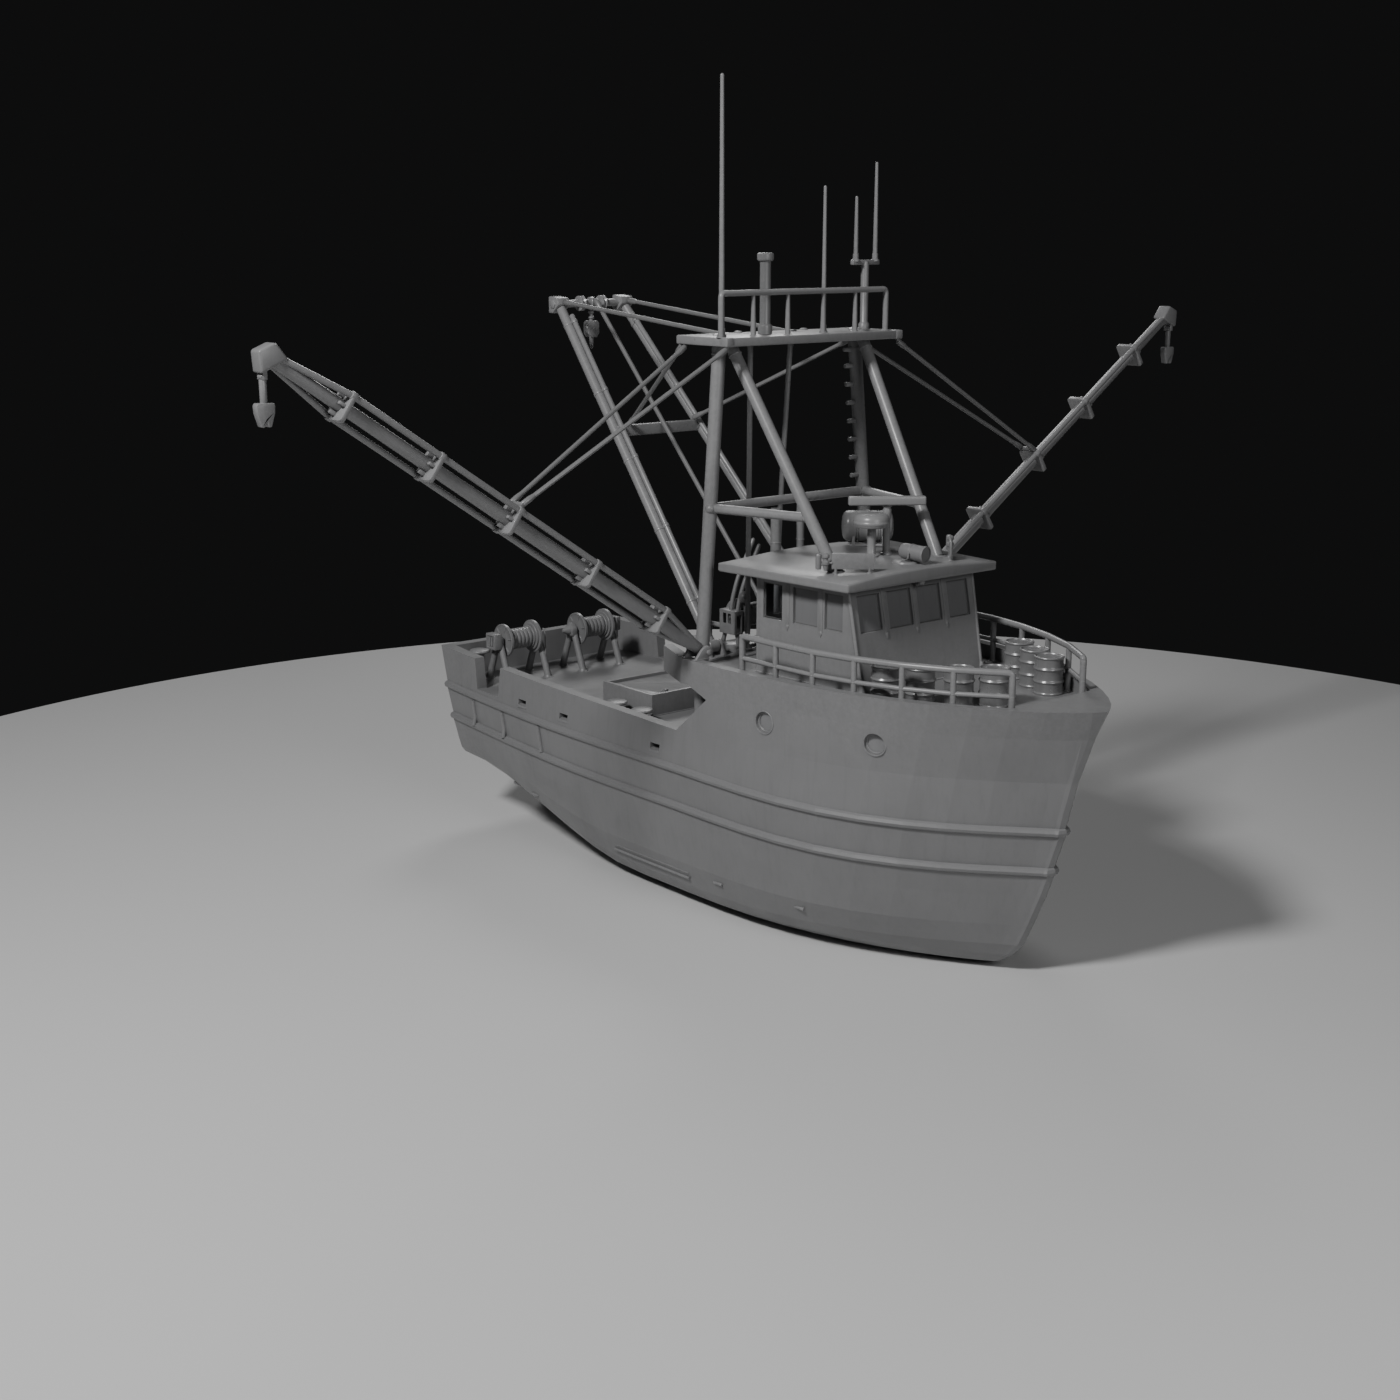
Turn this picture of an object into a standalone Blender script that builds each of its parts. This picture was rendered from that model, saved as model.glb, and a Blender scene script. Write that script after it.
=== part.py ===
# A western-rig steel trawler, about 21 m long, with its outriggers lowered to the fishing angle.
# Metres, +X towards the bow, +Y to port, +Z up. The origin is amidships on the waterline.

import math

import bmesh
import bpy
from mathutils import Matrix, Vector

# Driving heights above the waterline and lengths of the hull
KEEL_Z = -2.2
MAIN_DECK_Z = 1.78
FASCIA_Z = 3.65
RAISED_DECK_Z = 3.95
RIM_Z = 4.27
STERN_X = -10.49
STEM_X = 10.38
RIM_WIDTH = 0.26
RECESS_END_X = 9.05
BULWARK_THICK = 0.3
BULKHEAD_X = 1.85
OVERHANG_X = -0.75
CHAMFER_X = 0.75
CHAMFER_IN = 0.62
STEM_HALF = 0.12
RAIL_BULGE = 0.1

# Wheelhouse, mast and rig
ROOF_UNDER_Z = 6.3
PLATFORM_Z = 11.68
PLATFORM_THICK = 0.2
WALL = 0.08
HEEL = Vector((0.88, 3.1, 4.42))
OUTRIGGER_ANGLE = math.radians(33.9)
OUTRIGGER_LENGTH = 13.08
BOOM_FOOT = Vector((-0.16, 1.92, 4.2))
BOOM_HEAD = Vector((-7.476, 1.06, 12.14))
BOOM_CROSS_AT = 0.608

# Winches, propeller and rudder
STERN_WINCH_X = -9.05
STERN_WINCH_Z = 2.9
DECK_WINCH_X = -0.35
DECK_WINCH_Z = 4.79
PROPELLER_X = -8.72
PROPELLER_Z = -1.34
RUDDER_X = -9.3

# Gap between solids that touch, and between a shaft and its bore
GAP = 0.0003
RUNNING = 0.0006

# Levels of the hull from the bottom to the rim, each one curve from the transom to the stem.
# Columns: height aft, amidships, forward; x aft, forward; half-breadth aft, amidships; bow powers
LEVELS = {
    "bottom": (-0.42, -2.2, -2.17, -9.9, 7.15, 2.2, 1.9, 2.2, 0.8),
    "low bilge": (-0.4, -2.12, -2.06, -9.92, 7.7, 2.6, 2.4, 2.4, 0.95),
    "bilge": (-0.34, -1.93, -1.81, -9.93, 8.05, 2.83, 2.72, 2.6, 1.05),
    "high bilge": (-0.2, -1.62, -1.5, -9.95, 8.33, 2.93, 2.96, 2.8, 1.1),
    "boot": (0.08, -0.95, -0.97, -10.0, 8.58, 2.99, 3.23, 3.0, 1.15),
    "side": (0.35, -0.15, -0.22, -10.05, 8.9, 3.03, 3.37, 3.1, 1.2),
    "lower rail": (0.72, 0.56, 0.42, -10.12, 9.1, 3.07, 3.46, 3.2, 1.2),
    "upper rail": (1.6, 1.54, 1.38, -10.3, 9.36, 3.12, 3.58, 3.2, 1.2),
    "bulwark": (2.7, 2.55, 2.55, -10.48, 9.64, 3.17, 3.49, 3.0, 1.08),
    "fascia": (3.6, 3.6, 3.6, -10.49, 10.03, 3.18, 3.5, 2.75, 0.9),
    "rim": (4.27, 4.27, 4.27, -10.49, 10.33, 3.2, 3.56, 2.6, 0.8),
}
RAILS = ("lower rail", "upper rail")
# Half-round profile of a rub rail: height above its centre, height out from the side
RAIL_PROFILE = ((-0.1, 0.0), (-0.07, 0.07), (0.0, 0.1), (0.07, 0.07), (0.1, 0.0))
BOW_START = 0.55
STERN_TAPER = 0.35
BOTTOM_RISE = (-2.3, -10.0)
SIDE_STATIONS = 10
BOW_STATIONS = 12

# Foredeck rail posts: x, distance from the centreline
RAIL_POSTS = (
    (8.774, 1.157), (7.767, 1.887), (6.738, 2.39), (5.64, 2.755), (4.557, 2.975), (3.4, 3.03), (2.25, 3.03),
)
RAIL_TOP_Z = 4.985
# Drums on the foredeck: x, y
DRUMS = ((5.98, -2.1), (6.55, -1.62), (7.12, -1.0), (7.61, -0.4), (6.13, 2.11), (6.9, 1.74), (7.6, 1.42))
# Spreader plates along an outrigger, as distances from its heel pin
SPREADERS = (1.69, 4.03, 6.49, 8.79, 11.2)
# Portholes and freeing ports along the side: x, z
PORTHOLES = ((3.42, 3.22), (6.25, 3.18))
FREEING_PORTS = (-6.06, -4.13, -0.36)
# Stern winches: name, y of the two flanges, y of the two stands
STERN_WINCHES = (("1", (-2.03, -1.03), (-2.19, -0.87)), ("2", (0.51, 1.52), (0.35, 1.68)))

PARTS = bpy.data.collections.new("fishing_boat")
CUTTERS = bpy.data.collections.new("cutters")


def clear_scene():
    """Starts from an empty scene with one collection for the parts and one for the cutters."""
    for old in list(bpy.data.objects):
        bpy.data.objects.remove(old, do_unlink=True)
    bpy.context.scene.collection.children.link(PARTS)
    bpy.context.scene.collection.children.link(CUTTERS)


def paint(name, colour, roughness, metallic=0.0):
    """A plain Principled material."""
    made = bpy.data.materials.new(name)
    made.use_nodes = True
    shader = made.node_tree.nodes["Principled BSDF"]
    shader.inputs["Base Color"].default_value = (*colour, 1.0)
    shader.inputs["Roughness"].default_value = roughness
    shader.inputs["Metallic"].default_value = metallic
    made.diffuse_color = (*colour, 1.0)
    return made


def solid(mesh, name="piece"):
    """Puts a mesh in the scene as an object of the cutters' collection, for the time being."""
    made = bpy.data.objects.new(name, mesh)
    CUTTERS.objects.link(made)
    return made


def from_bmesh(shape, name="piece"):
    """Turns a bmesh into an object with its faces pointing out."""
    bmesh.ops.recalc_face_normals(shape, faces=shape.faces)
    mesh = bpy.data.meshes.new(name)
    shape.to_mesh(mesh)
    shape.free()
    return solid(mesh, name)


def block(low, high):
    """A box between two corners."""
    low, high = Vector(low), Vector(high)
    shape = bmesh.new()
    bmesh.ops.create_cube(shape, size=1.0)
    bmesh.ops.scale(shape, vec=high - low, verts=shape.verts)
    bmesh.ops.translate(shape, vec=(low + high) / 2, verts=shape.verts)
    return from_bmesh(shape)


def rod(start, end, radius, sides=12, end_radius=None):
    """A round bar between two points, straight or tapered."""
    start, end = Vector(start), Vector(end)
    run = end - start
    turn = run.to_track_quat("Z", "Y").to_matrix().to_4x4()
    place = Matrix.Translation((start + end) / 2) @ turn
    top = radius if end_radius is None else end_radius
    shape = bmesh.new()
    bmesh.ops.create_cone(
        shape, cap_ends=True, segments=sides, radius1=radius, radius2=top, depth=run.length, matrix=place
    )
    return from_bmesh(shape)


def bore_radius(shaft, sides=12):
    """Corner radius of a many-sided bore whose flats clear a turning shaft's corners."""
    return (shaft + RUNNING) / math.cos(math.pi / sides)


def bore(start, end, shaft, sides=12):
    """Cutter for a shaft's hole, turned so that at rest its flats lie over the shaft's corners."""
    start, end = Vector(start), Vector(end)
    hole = rod(start, end, bore_radius(shaft, sides), sides)
    axis = (end - start).normalized()
    half_step = Matrix.Rotation(math.pi / sides, 4, axis)
    hole.data.transform(Matrix.Translation(start) @ half_step @ Matrix.Translation(-start))
    return hole


def ball(centre, size, turn=Matrix.Identity(4), segments=12):
    """An ellipsoid with the given half sizes."""
    shape = bmesh.new()
    place = Matrix.Translation(centre) @ turn @ Matrix.Diagonal((*size, 1.0))
    bmesh.ops.create_uvsphere(shape, u_segments=segments, v_segments=segments // 2, radius=1.0, matrix=place)
    return from_bmesh(shape)


def curve_mesh(curve):
    """A curve's surface as a closed bmesh, with the loose caps welded."""
    holder = bpy.data.objects.new("curve", curve)
    CUTTERS.objects.link(holder)
    bpy.context.view_layer.update()
    depsgraph = bpy.context.evaluated_depsgraph_get()
    mesh = bpy.data.meshes.new_from_object(holder.evaluated_get(depsgraph))
    bpy.data.objects.remove(holder)
    shape = bmesh.new()
    shape.from_mesh(mesh)
    bmesh.ops.remove_doubles(shape, verts=shape.verts, dist=0.0001)
    bpy.data.meshes.remove(mesh)
    return shape


def tube(points, radius, resolution=2):
    """A bent round bar through a few points."""
    curve = bpy.data.curves.new("tube", "CURVE")
    curve.dimensions = "3D"
    curve.bevel_depth = radius
    curve.bevel_resolution = resolution
    curve.use_fill_caps = True
    spline = curve.splines.new("POLY")
    spline.points.add(len(points) - 1)
    for point, place in zip(spline.points, points):
        point.co = (*place, 1.0)
    return from_bmesh(curve_mesh(curve))


def plate(outline, low, high, plane="XY"):
    """A flat outline given thickness: in XY from z low to high, in XZ along y, or in YZ along x."""
    curve = bpy.data.curves.new("plate", "CURVE")
    curve.dimensions = "2D"
    curve.fill_mode = "BOTH"
    curve.extrude = (high - low) / 2
    spline = curve.splines.new("POLY")
    spline.points.add(len(outline) - 1)
    spline.use_cyclic_u = True
    for point, (across, up) in zip(spline.points, outline):
        point.co = (across, up, 0.0, 1.0)
    shape = curve_mesh(curve)
    middle = (low + high) / 2
    if plane == "XY":
        place = Matrix.Translation((0, 0, middle))
    elif plane == "XZ":
        place = Matrix.Translation((0, middle, 0)) @ Matrix.Rotation(math.pi / 2, 4, "X")
    else:
        across_x = Matrix(((0, 0, 1, 0), (1, 0, 0, 0), (0, 1, 0, 0), (0, 0, 0, 1)))
        place = Matrix.Translation((middle, 0, 0)) @ across_x
    bmesh.ops.transform(shape, matrix=place, verts=shape.verts)
    return from_bmesh(shape)


def combine(target, tool, operation):
    """Applies one exact Boolean and removes the tool."""
    step = target.modifiers.new("combine", "BOOLEAN")
    step.solver = "EXACT"
    step.operation = operation
    step.object = tool
    bpy.context.view_layer.update()
    depsgraph = bpy.context.evaluated_depsgraph_get()
    mesh = bpy.data.meshes.new_from_object(target.evaluated_get(depsgraph))
    target.modifiers.remove(step)
    target.data = mesh
    bpy.data.objects.remove(tool)


def fuse(first, *others):
    """Joins solids into one closed body."""
    for other in others:
        combine(first, other, "UNION")
    return first


def cut(target, *tools):
    """Takes solids away from a body."""
    for tool in tools:
        combine(target, tool, "DIFFERENCE")
    return target


def finish(piece, name, material, origin=(0, 0, 0)):
    """Names a finished piece, sets its origin and material, and puts it in the boat's collection."""
    piece.data.transform(Matrix.Translation(origin).inverted())
    piece.location = origin
    piece.name = name
    piece.data.name = name
    piece.data.materials.clear()
    piece.data.materials.append(material)
    piece.data.shade_smooth()
    piece.data.set_sharp_from_angle(angle=math.radians(35))
    CUTTERS.objects.unlink(piece)
    PARTS.objects.link(piece)
    return piece


def smooth_step(value):
    """Rises from 0 to 1 with level ends."""
    value = min(max(value, 0.0), 1.0)
    return value * value * (3 - 2 * value)


def stations():
    """Fractions of the length from transom to stem, closer together round the bow."""
    side = [BOW_START * step / SIDE_STATIONS for step in range(SIDE_STATIONS)]
    quarter = [math.sin(math.pi / 2 * step / BOW_STATIONS) for step in range(BOW_STATIONS + 1)]
    return side + [BOW_START + (1 - BOW_START) * step for step in quarter]


def level_point(name, along):
    """A point of one hull level at a fraction of its length, on the port side."""
    z_aft, z_mid, z_fwd, x_aft, x_fwd, b_aft, b_mid, bow_power, bow_root = LEVELS[name]
    x = x_aft + (x_fwd - x_aft) * along
    start, stop = BOTTOM_RISE
    rise = smooth_step((start - x) / (start - stop))
    z = z_mid + (z_aft - z_mid) * rise + (z_fwd - z_mid) * smooth_step(x / x_fwd)
    if along < STERN_TAPER:
        y = b_mid - (b_mid - b_aft) * (1 - along / STERN_TAPER) ** 2
    elif along < BOW_START:
        y = b_mid
    else:
        bow = (along - BOW_START) / (1 - BOW_START)
        y = STEM_HALF + (b_mid - STEM_HALF) * max(1 - bow ** bow_power, 0.0) ** bow_root
    return Vector((x, y, z))


def level_curve(name, out=0.0, up=0.0):
    """One hull level on the port side, moved out along its plan normal and up."""
    points = [level_point(name, along) for along in stations()]
    moved = []
    for index, point in enumerate(points):
        before = points[max(index - 1, 0)]
        after = points[min(index + 1, len(points) - 1)]
        run = after - before
        normal = Vector((-run.y, run.x, 0)).normalized()
        moved.append(point + normal * out + Vector((0, 0, up)))
    return moved


def hull_curves():
    """All the hull's level curves from the bottom up, with the rub rails' profiles in their places."""
    curves = []
    for name in LEVELS:
        if name in RAILS:
            curves += [level_curve(name, out, up) for up, out in RAIL_PROFILE]
        else:
            curves.append(level_curve(name))
    return curves


def hull_loft():
    """The closed outer body of the hull up to the rim, before anything is cut from it."""
    shape = bmesh.new()
    rings = []
    for curve in hull_curves():
        port = [shape.verts.new(point) for point in curve]
        nose = shape.verts.new((curve[-1].x + STEM_HALF / 2, 0, curve[-1].z))
        starboard = [shape.verts.new((point.x, -point.y, point.z)) for point in reversed(curve)]
        rings.append(port + [nose] + starboard)
    for lower, upper in zip(rings, rings[1:]):
        for index in range(len(lower)):
            after = (index + 1) % len(lower)
            shape.faces.new((lower[index], lower[after], upper[after], upper[index]))
    for ring in (rings[0], rings[-1]):
        last = len(ring) - 1
        half = last // 2
        for index in range(half - 1):
            shape.faces.new((ring[index], ring[index + 1], ring[last - index - 1], ring[last - index]))
        shape.faces.new((ring[half - 1], ring[half], ring[half + 1]))
    bmesh.ops.triangulate(shape, faces=shape.faces)
    return from_bmesh(shape)


def both_sides(half):
    """A plan outline from its port half, given from aft to forward."""
    return half + [(x, -y) for x, y in reversed(half)]


def well_outline():
    """Plan of the aft deck inside the bulwarks, from the transom to the bulkhead."""
    inner = level_curve("bulwark", -BULWARK_THICK)
    aft = STERN_X + BULWARK_THICK
    half = [(aft, inner[0].y)]
    half += [(p.x, p.y) for p in inner if aft + 0.2 < p.x < inner[0].x + 7.0]
    half.append((BULKHEAD_X, inner[SIDE_STATIONS].y))
    return both_sides(half)


def foredeck_outline():
    """Plan of the raised deck inside its rim, open at the aft end."""
    inner = level_curve("rim", -RIM_WIDTH)
    side = inner[SIDE_STATIONS].y
    half = [(OVERHANG_X - 0.5, side - CHAMFER_IN), (OVERHANG_X, side - CHAMFER_IN), (CHAMFER_X, side)]
    half += [(p.x, p.y) for p in inner if CHAMFER_X + 0.3 < p.x < RECESS_END_X]
    return both_sides(half)


def make_hull(material):
    """The hull with its decks, gates, ports, portholes, hold, skeg and the bores for shaft and stock."""
    hull = hull_loft()
    deep = 6.0
    above = [
        (STERN_X - 1, 2.72), (0.4, 2.46), (1.5, 3.4), (0.84, FASCIA_Z), (OVERHANG_X, FASCIA_Z),
        (OVERHANG_X, deep), (STERN_X - 1, deep),
    ]
    cut(hull, plate(above, -deep, deep, "XZ"))
    cut(hull, plate(well_outline(), MAIN_DECK_Z, FASCIA_Z))
    cut(hull, plate(foredeck_outline(), RAISED_DECK_Z, deep))
    side = level_point("rim", BOW_START).y
    beyond = OVERHANG_X - 0.2
    slant = [(CHAMFER_X, side + 0.02), (beyond, side - CHAMFER_IN - 0.08)]
    corner = slant + [(beyond, side + 1), (CHAMFER_X, side + 1)]
    for sign in (1, -1):
        outline = [(x, sign * y) for x, y in corner]
        cut(hull, plate(outline, FASCIA_Z - 0.1, deep))
    sill = MAIN_DECK_Z + 0.03
    gate = [(-8.45, sill), (-7.3, sill), (-7.15, 3.05), (-8.6, 3.05)]
    for low, high in ((2.4, 4.0), (-4.0, -2.4)):
        cut(hull, plate(gate, low, high, "XZ"))
    for x in FREEING_PORTS:
        for low, high in ((2.4, 4.0), (-4.0, -2.4)):
            cut(hull, block((x - 0.18, low, MAIN_DECK_Z + 0.05), (x + 0.18, high, MAIN_DECK_Z + 0.2)))
    for x, z in PORTHOLES:
        side = hull_half_breadth(x, z)
        slope = hull_half_breadth(x + 0.2, z) - hull_half_breadth(x - 0.2, z)
        out = Vector((-slope, 0.4, 0)).normalized()
        for sign in (1, -1):
            middle = Vector((x, sign * side, z))
            normal = Vector((out.x, sign * out.y, 0))
            cut(hull, rod(middle - normal * 0.12, middle + normal * 0.5, 0.25, 20))
    hold = block((-4.95, -1.3, 0.6), (-3.25, 1.3, MAIN_DECK_Z + 0.5))
    cut(hull, hold)
    low, sole = KEEL_Z - 0.05, KEEL_Z + 0.12
    skeg = [(-2.0, low), (-9.75, low), (-9.75, sole), (-8.3, sole), (-8.3, -0.2), (-2.0, -0.9)]
    fuse(hull, plate(skeg, -0.14, 0.14, "XZ"))
    cut(hull, bore((-8.7, 0, PROPELLER_Z), (-7.9, 0, PROPELLER_Z), 0.08))
    cut(hull, bore((RUDDER_X, 0, -1.0), (RUDDER_X, 0, 0.0), 0.08))
    cut(hull, bore((RUDDER_X, 0, -2.16), (RUDDER_X, 0, -2.0), 0.05))
    return finish(hull, "hull", material)


def hull_half_breadth(x, z):
    """Half-breadth of the topside at a place above the upper rub rail."""
    names = ("upper rail", "bulwark", "fascia", "rim")
    found = []
    for name in names:
        curve = [level_point(name, along) for along in stations()]
        for before, after in zip(curve, curve[1:]):
            if before.x <= x <= after.x:
                part = (x - before.x) / (after.x - before.x)
                found.append(before.lerp(after, part))
    for low, high in zip(found, found[1:]):
        if low.z <= z <= high.z:
            return low.lerp(high, (z - low.z) / (high.z - low.z)).y
    return found[-1].y


# Wheelhouse: its corners in plan at the deck and under the roof, then its windows and door
FRONT_FOOT_X = 5.13
FRONT_TOP_X = 4.66
AFT_WALL_X = 1.8
FRONT_HALF = 1.98
AFT_HALF = 2.2
WINDOW_LOW_Z = 5.28
WINDOW_TOP_Z = 6.12
SIDE_WINDOWS = ((2.02, 2.62), (2.97, 3.73), (3.95, 4.5))
FRONT_WINDOWS = ((-1.8, -1.1), (-0.86, -0.1), (0.1, 0.86), (1.1, 1.8))
AFT_WINDOWS = ((-1.75, -1.05), (1.05, 1.75))
DOOR_HALF = 0.38
DOOR_TOP_Z = 5.85
SILL_Z = RAISED_DECK_Z + 0.12


def side_y(x):
    """Outer face of the wheelhouse side wall at a length."""
    return AFT_HALF + (FRONT_HALF - AFT_HALF) * (x - AFT_WALL_X) / (FRONT_FOOT_X - AFT_WALL_X)


def wall_loft(corners_low, corners_high):
    """A wall panel between a plan outline at the deck and one under the roof."""
    shape = bmesh.new()
    low = [shape.verts.new((x, y, RAISED_DECK_Z + GAP)) for x, y in corners_low]
    high = [shape.verts.new((x, y, ROOF_UNDER_Z - GAP)) for x, y in corners_high]
    shape.faces.new(low)
    shape.faces.new(high)
    for index in range(len(low)):
        after = (index + 1) % len(low)
        shape.faces.new((low[index], low[after], high[after], high[index]))
    return from_bmesh(shape)


def make_front_wall(material):
    """The raked front panel with its four windows."""
    outlines = []
    for x in (FRONT_FOOT_X, FRONT_TOP_X):
        half = side_y(x)
        outlines.append([(x, -half), (x, half), (x - WALL, half), (x - WALL, -half)])
    front = wall_loft(*outlines)
    for y_low, y_high in FRONT_WINDOWS:
        cut(front, block((4.2, y_low, WINDOW_LOW_Z), (5.4, y_high, WINDOW_TOP_Z)))
    finish(front, "wheelhouse_front", material)


def make_side_walls(material):
    """The two side panels, a little closer together forward, each with three windows."""
    aft = AFT_WALL_X + WALL + GAP
    for name, sign, y_low, y_high in (("starboard", -1, -2.6, -1.5), ("port", 1, 1.5, 2.6)):
        outlines = []
        for front in (FRONT_FOOT_X, FRONT_TOP_X):
            fore = front - WALL - GAP
            outer = [(aft, sign * side_y(aft)), (fore, sign * side_y(fore))]
            inner = [(fore, sign * (side_y(fore) - WALL)), (aft, sign * (side_y(aft) - WALL))]
            outlines.append(outer + inner)
        side = wall_loft(*outlines)
        for x_low, x_high in SIDE_WINDOWS:
            cut(side, block((x_low, y_low, WINDOW_LOW_Z), (x_high, y_high, WINDOW_TOP_Z)))
        finish(side, "wheelhouse_side_" + name, material)


def make_aft_wall(material):
    """The aft panel with two windows, and its door on two lift-off hinges."""
    low, high = RAISED_DECK_Z + GAP, ROOF_UNDER_Z - GAP
    aft = block((AFT_WALL_X, -AFT_HALF, low), (AFT_WALL_X + WALL, AFT_HALF, high))
    for y_low, y_high in AFT_WINDOWS:
        cut(aft, block((1.0, y_low, WINDOW_LOW_Z), (2.5, y_high, WINDOW_TOP_Z)))
    cut(aft, block((1.0, -DOOR_HALF, SILL_Z), (2.5, DOOR_HALF, DOOR_TOP_Z)))
    clear = 0.006
    axis = Vector((AFT_WALL_X - 0.03, DOOR_HALF + 0.03, SILL_Z))
    hinge_heights = (4.4, 5.4)
    for z in hinge_heights:
        under = z - 0.02 - GAP
        low = (axis.x - 0.022, axis.y - 0.022, under - 0.03)
        fuse(aft, block(low, (AFT_WALL_X + 0.01, axis.y + 0.022, under)))
    finish(aft, "wheelhouse_aft", material)
    low = (AFT_WALL_X + 0.01, -DOOR_HALF + clear, SILL_Z + clear)
    high = (AFT_WALL_X + 0.05, DOOR_HALF - clear, DOOR_TOP_Z - clear)
    door = block(low, high)
    cut(door, block((1.0, -0.22, 5.05), (2.5, 0.22, 5.6)))
    for z in hinge_heights:
        inner, outer = DOOR_HALF - 0.1, DOOR_HALF + 0.03
        leaf = block((AFT_WALL_X - 0.03, inner, z), (AFT_WALL_X + 0.02, DOOR_HALF - clear - 0.004, z + 0.1))
        strap = block((AFT_WALL_X - 0.045, inner, z), (AFT_WALL_X - 0.015, outer, z + 0.1))
        knuckle = rod((axis.x, axis.y, z - 0.02), (axis.x, axis.y, z + 0.12), 0.022, 10)
        fuse(door, leaf, strap, knuckle)
    root, grip = AFT_WALL_X + 0.02, AFT_WALL_X - 0.06
    fuse(door, tube([(root, -0.3, 4.9), (grip, -0.3, 4.9), (grip, -0.3, 5.15), (root, -0.3, 5.15)], 0.012))
    finish(door, "wheelhouse_door", material, axis)


# Roof plate: x, half-width and edge height at the two ends, crown and thickness
ROOF_FORE = (5.07, 2.43)
ROOF_AFT = (1.02, 2.75)
ROOF_EDGE_Z = 6.5
ROOF_CROWN = 0.12


def roof_z(y):
    """Top of the crowned roof at a distance from the centreline."""
    share = min(abs(y) / 2.4, 1.0)
    return ROOF_EDGE_Z + ROOF_CROWN * (1 - share * share)


def roof_body():
    """The wheelhouse roof: flat below, crowned above, wider than the walls."""
    shape = bmesh.new()
    rows = []
    shares = (-1.0, -0.75, -0.4, 0.0, 0.4, 0.75, 1.0)
    for x, half in (ROOF_AFT, ROOF_FORE):
        top = [shape.verts.new((x, share * half, roof_z(share * half))) for share in shares]
        under = [shape.verts.new((x, share * half, ROOF_UNDER_Z)) for share in shares]
        rows.append((top, under))
    (top_a, under_a), (top_b, under_b) = rows
    for index in range(len(shares) - 1):
        after = index + 1
        shape.faces.new((top_a[index], top_a[after], top_b[after], top_b[index]))
        shape.faces.new((under_a[index], under_b[index], under_b[after], under_a[after]))
        shape.faces.new((top_a[index], under_a[index], under_a[after], top_a[after]))
        shape.faces.new((top_b[index], top_b[after], under_b[after], under_b[index]))
    for index in (0, -1):
        shape.faces.new((top_a[index], top_b[index], under_b[index], under_a[index]))
    bmesh.ops.triangulate(shape, faces=shape.faces)
    return from_bmesh(shape)


def seat_on_roof(piece):
    """Trims a piece's feet to the crowned roof, so that it stands on it."""
    return cut(piece, moved(roof_body(), (0, 0, GAP)))


def make_rails(material):
    """Foredeck rails: top rail, mid rail and posts standing on the deck inside the rim."""
    mid_z = (RAISED_DECK_Z + RAIL_TOP_Z) / 2
    for name, sign in (("starboard", -1), ("port", 1)):
        rail = tube([(x, sign * y, RAIL_TOP_Z) for x, y in RAIL_POSTS], 0.058)
        fuse(rail, tube([(x, sign * y, mid_z) for x, y in RAIL_POSTS], 0.045))
        for x, y in RAIL_POSTS:
            fuse(rail, rod((x, sign * y, RAISED_DECK_Z + GAP), (x, sign * y, RAIL_TOP_Z + 0.03), 0.06, 10))
        finish(rail, "foredeck_rail_" + name, material)


def turned(profile, steps, sides_axis="Z"):
    """A ring or body of revolution from a profile of (radius, height), through a Screw modifier."""
    mesh = bpy.data.meshes.new("profile")
    points = [(radius, 0.0, height) for radius, height in profile]
    closed = profile[0][0] > 0.001
    edges = [(index, index + 1) for index in range(len(points) - 1)]
    if closed:
        edges.append((len(points) - 1, 0))
    mesh.from_pydata(points, edges, [])
    holder = solid(mesh)
    screw = holder.modifiers.new("screw", "SCREW")
    screw.steps = steps
    screw.render_steps = steps
    screw.use_merge_vertices = True
    screw.merge_threshold = 0.0001
    bpy.context.view_layer.update()
    depsgraph = bpy.context.evaluated_depsgraph_get()
    shape = bmesh.new()
    shape.from_mesh(bpy.data.meshes.new_from_object(holder.evaluated_get(depsgraph)))
    bpy.data.objects.remove(holder)
    bmesh.ops.remove_doubles(shape, verts=shape.verts, dist=0.0001)
    if sides_axis == "Y":
        bmesh.ops.rotate(shape, verts=shape.verts, matrix=Matrix.Rotation(-math.pi / 2, 3, "X"))
    return from_bmesh(shape)


def moved(piece, offset):
    """Moves a solid's mesh."""
    piece.data.transform(Matrix.Translation(offset))
    return piece


DRUM_RADIUS = 0.34
DRUM_HEIGHT = 0.86


def make_drums(material):
    """Steel drums with a rounded top edge and two rolling hoops."""
    hoop = 0.018
    for index, (x, y) in enumerate(DRUMS):
        profile = [
            (0.0, DRUM_HEIGHT - 0.03), (DRUM_RADIUS - 0.05, DRUM_HEIGHT - 0.03),
            (DRUM_RADIUS - 0.03, DRUM_HEIGHT), (DRUM_RADIUS - 0.01, DRUM_HEIGHT),
            (DRUM_RADIUS, DRUM_HEIGHT - 0.03),
        ]
        for z in (0.58, 0.29):
            waist = DRUM_RADIUS - hoop
            profile += [(waist, z + 0.035), (DRUM_RADIUS + 0.012, z), (waist, z - 0.035)]
        profile += [(DRUM_RADIUS, 0.03), (DRUM_RADIUS - 0.02, 0.0), (0.0, 0.0)]
        foot = (x, y, RAISED_DECK_Z + GAP)
        finish(moved(turned(profile, 18), foot), f"drum_{index + 1}", material, foot)


# Mast legs: foot and head of the upright pair, and of the pair that stands on the roof
LEG_FOOT = Vector((0.54, 2.83, RAISED_DECK_Z + GAP))
LEG_HEAD = Vector((0.41, 2.18, 11.46))
STRUT_FOOT = Vector((3.95, 1.67, 6.42))
STRUT_HEAD = Vector((0.744, 2.127, 11.46))
CROSS_Z = 7.7
LEG_RADIUS = 0.165
STRUT_RADIUS = 0.145
RUNG_Z = (8.1, 8.55, 9.0, 9.45, 9.9, 10.35, 10.8, 11.2)


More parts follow.
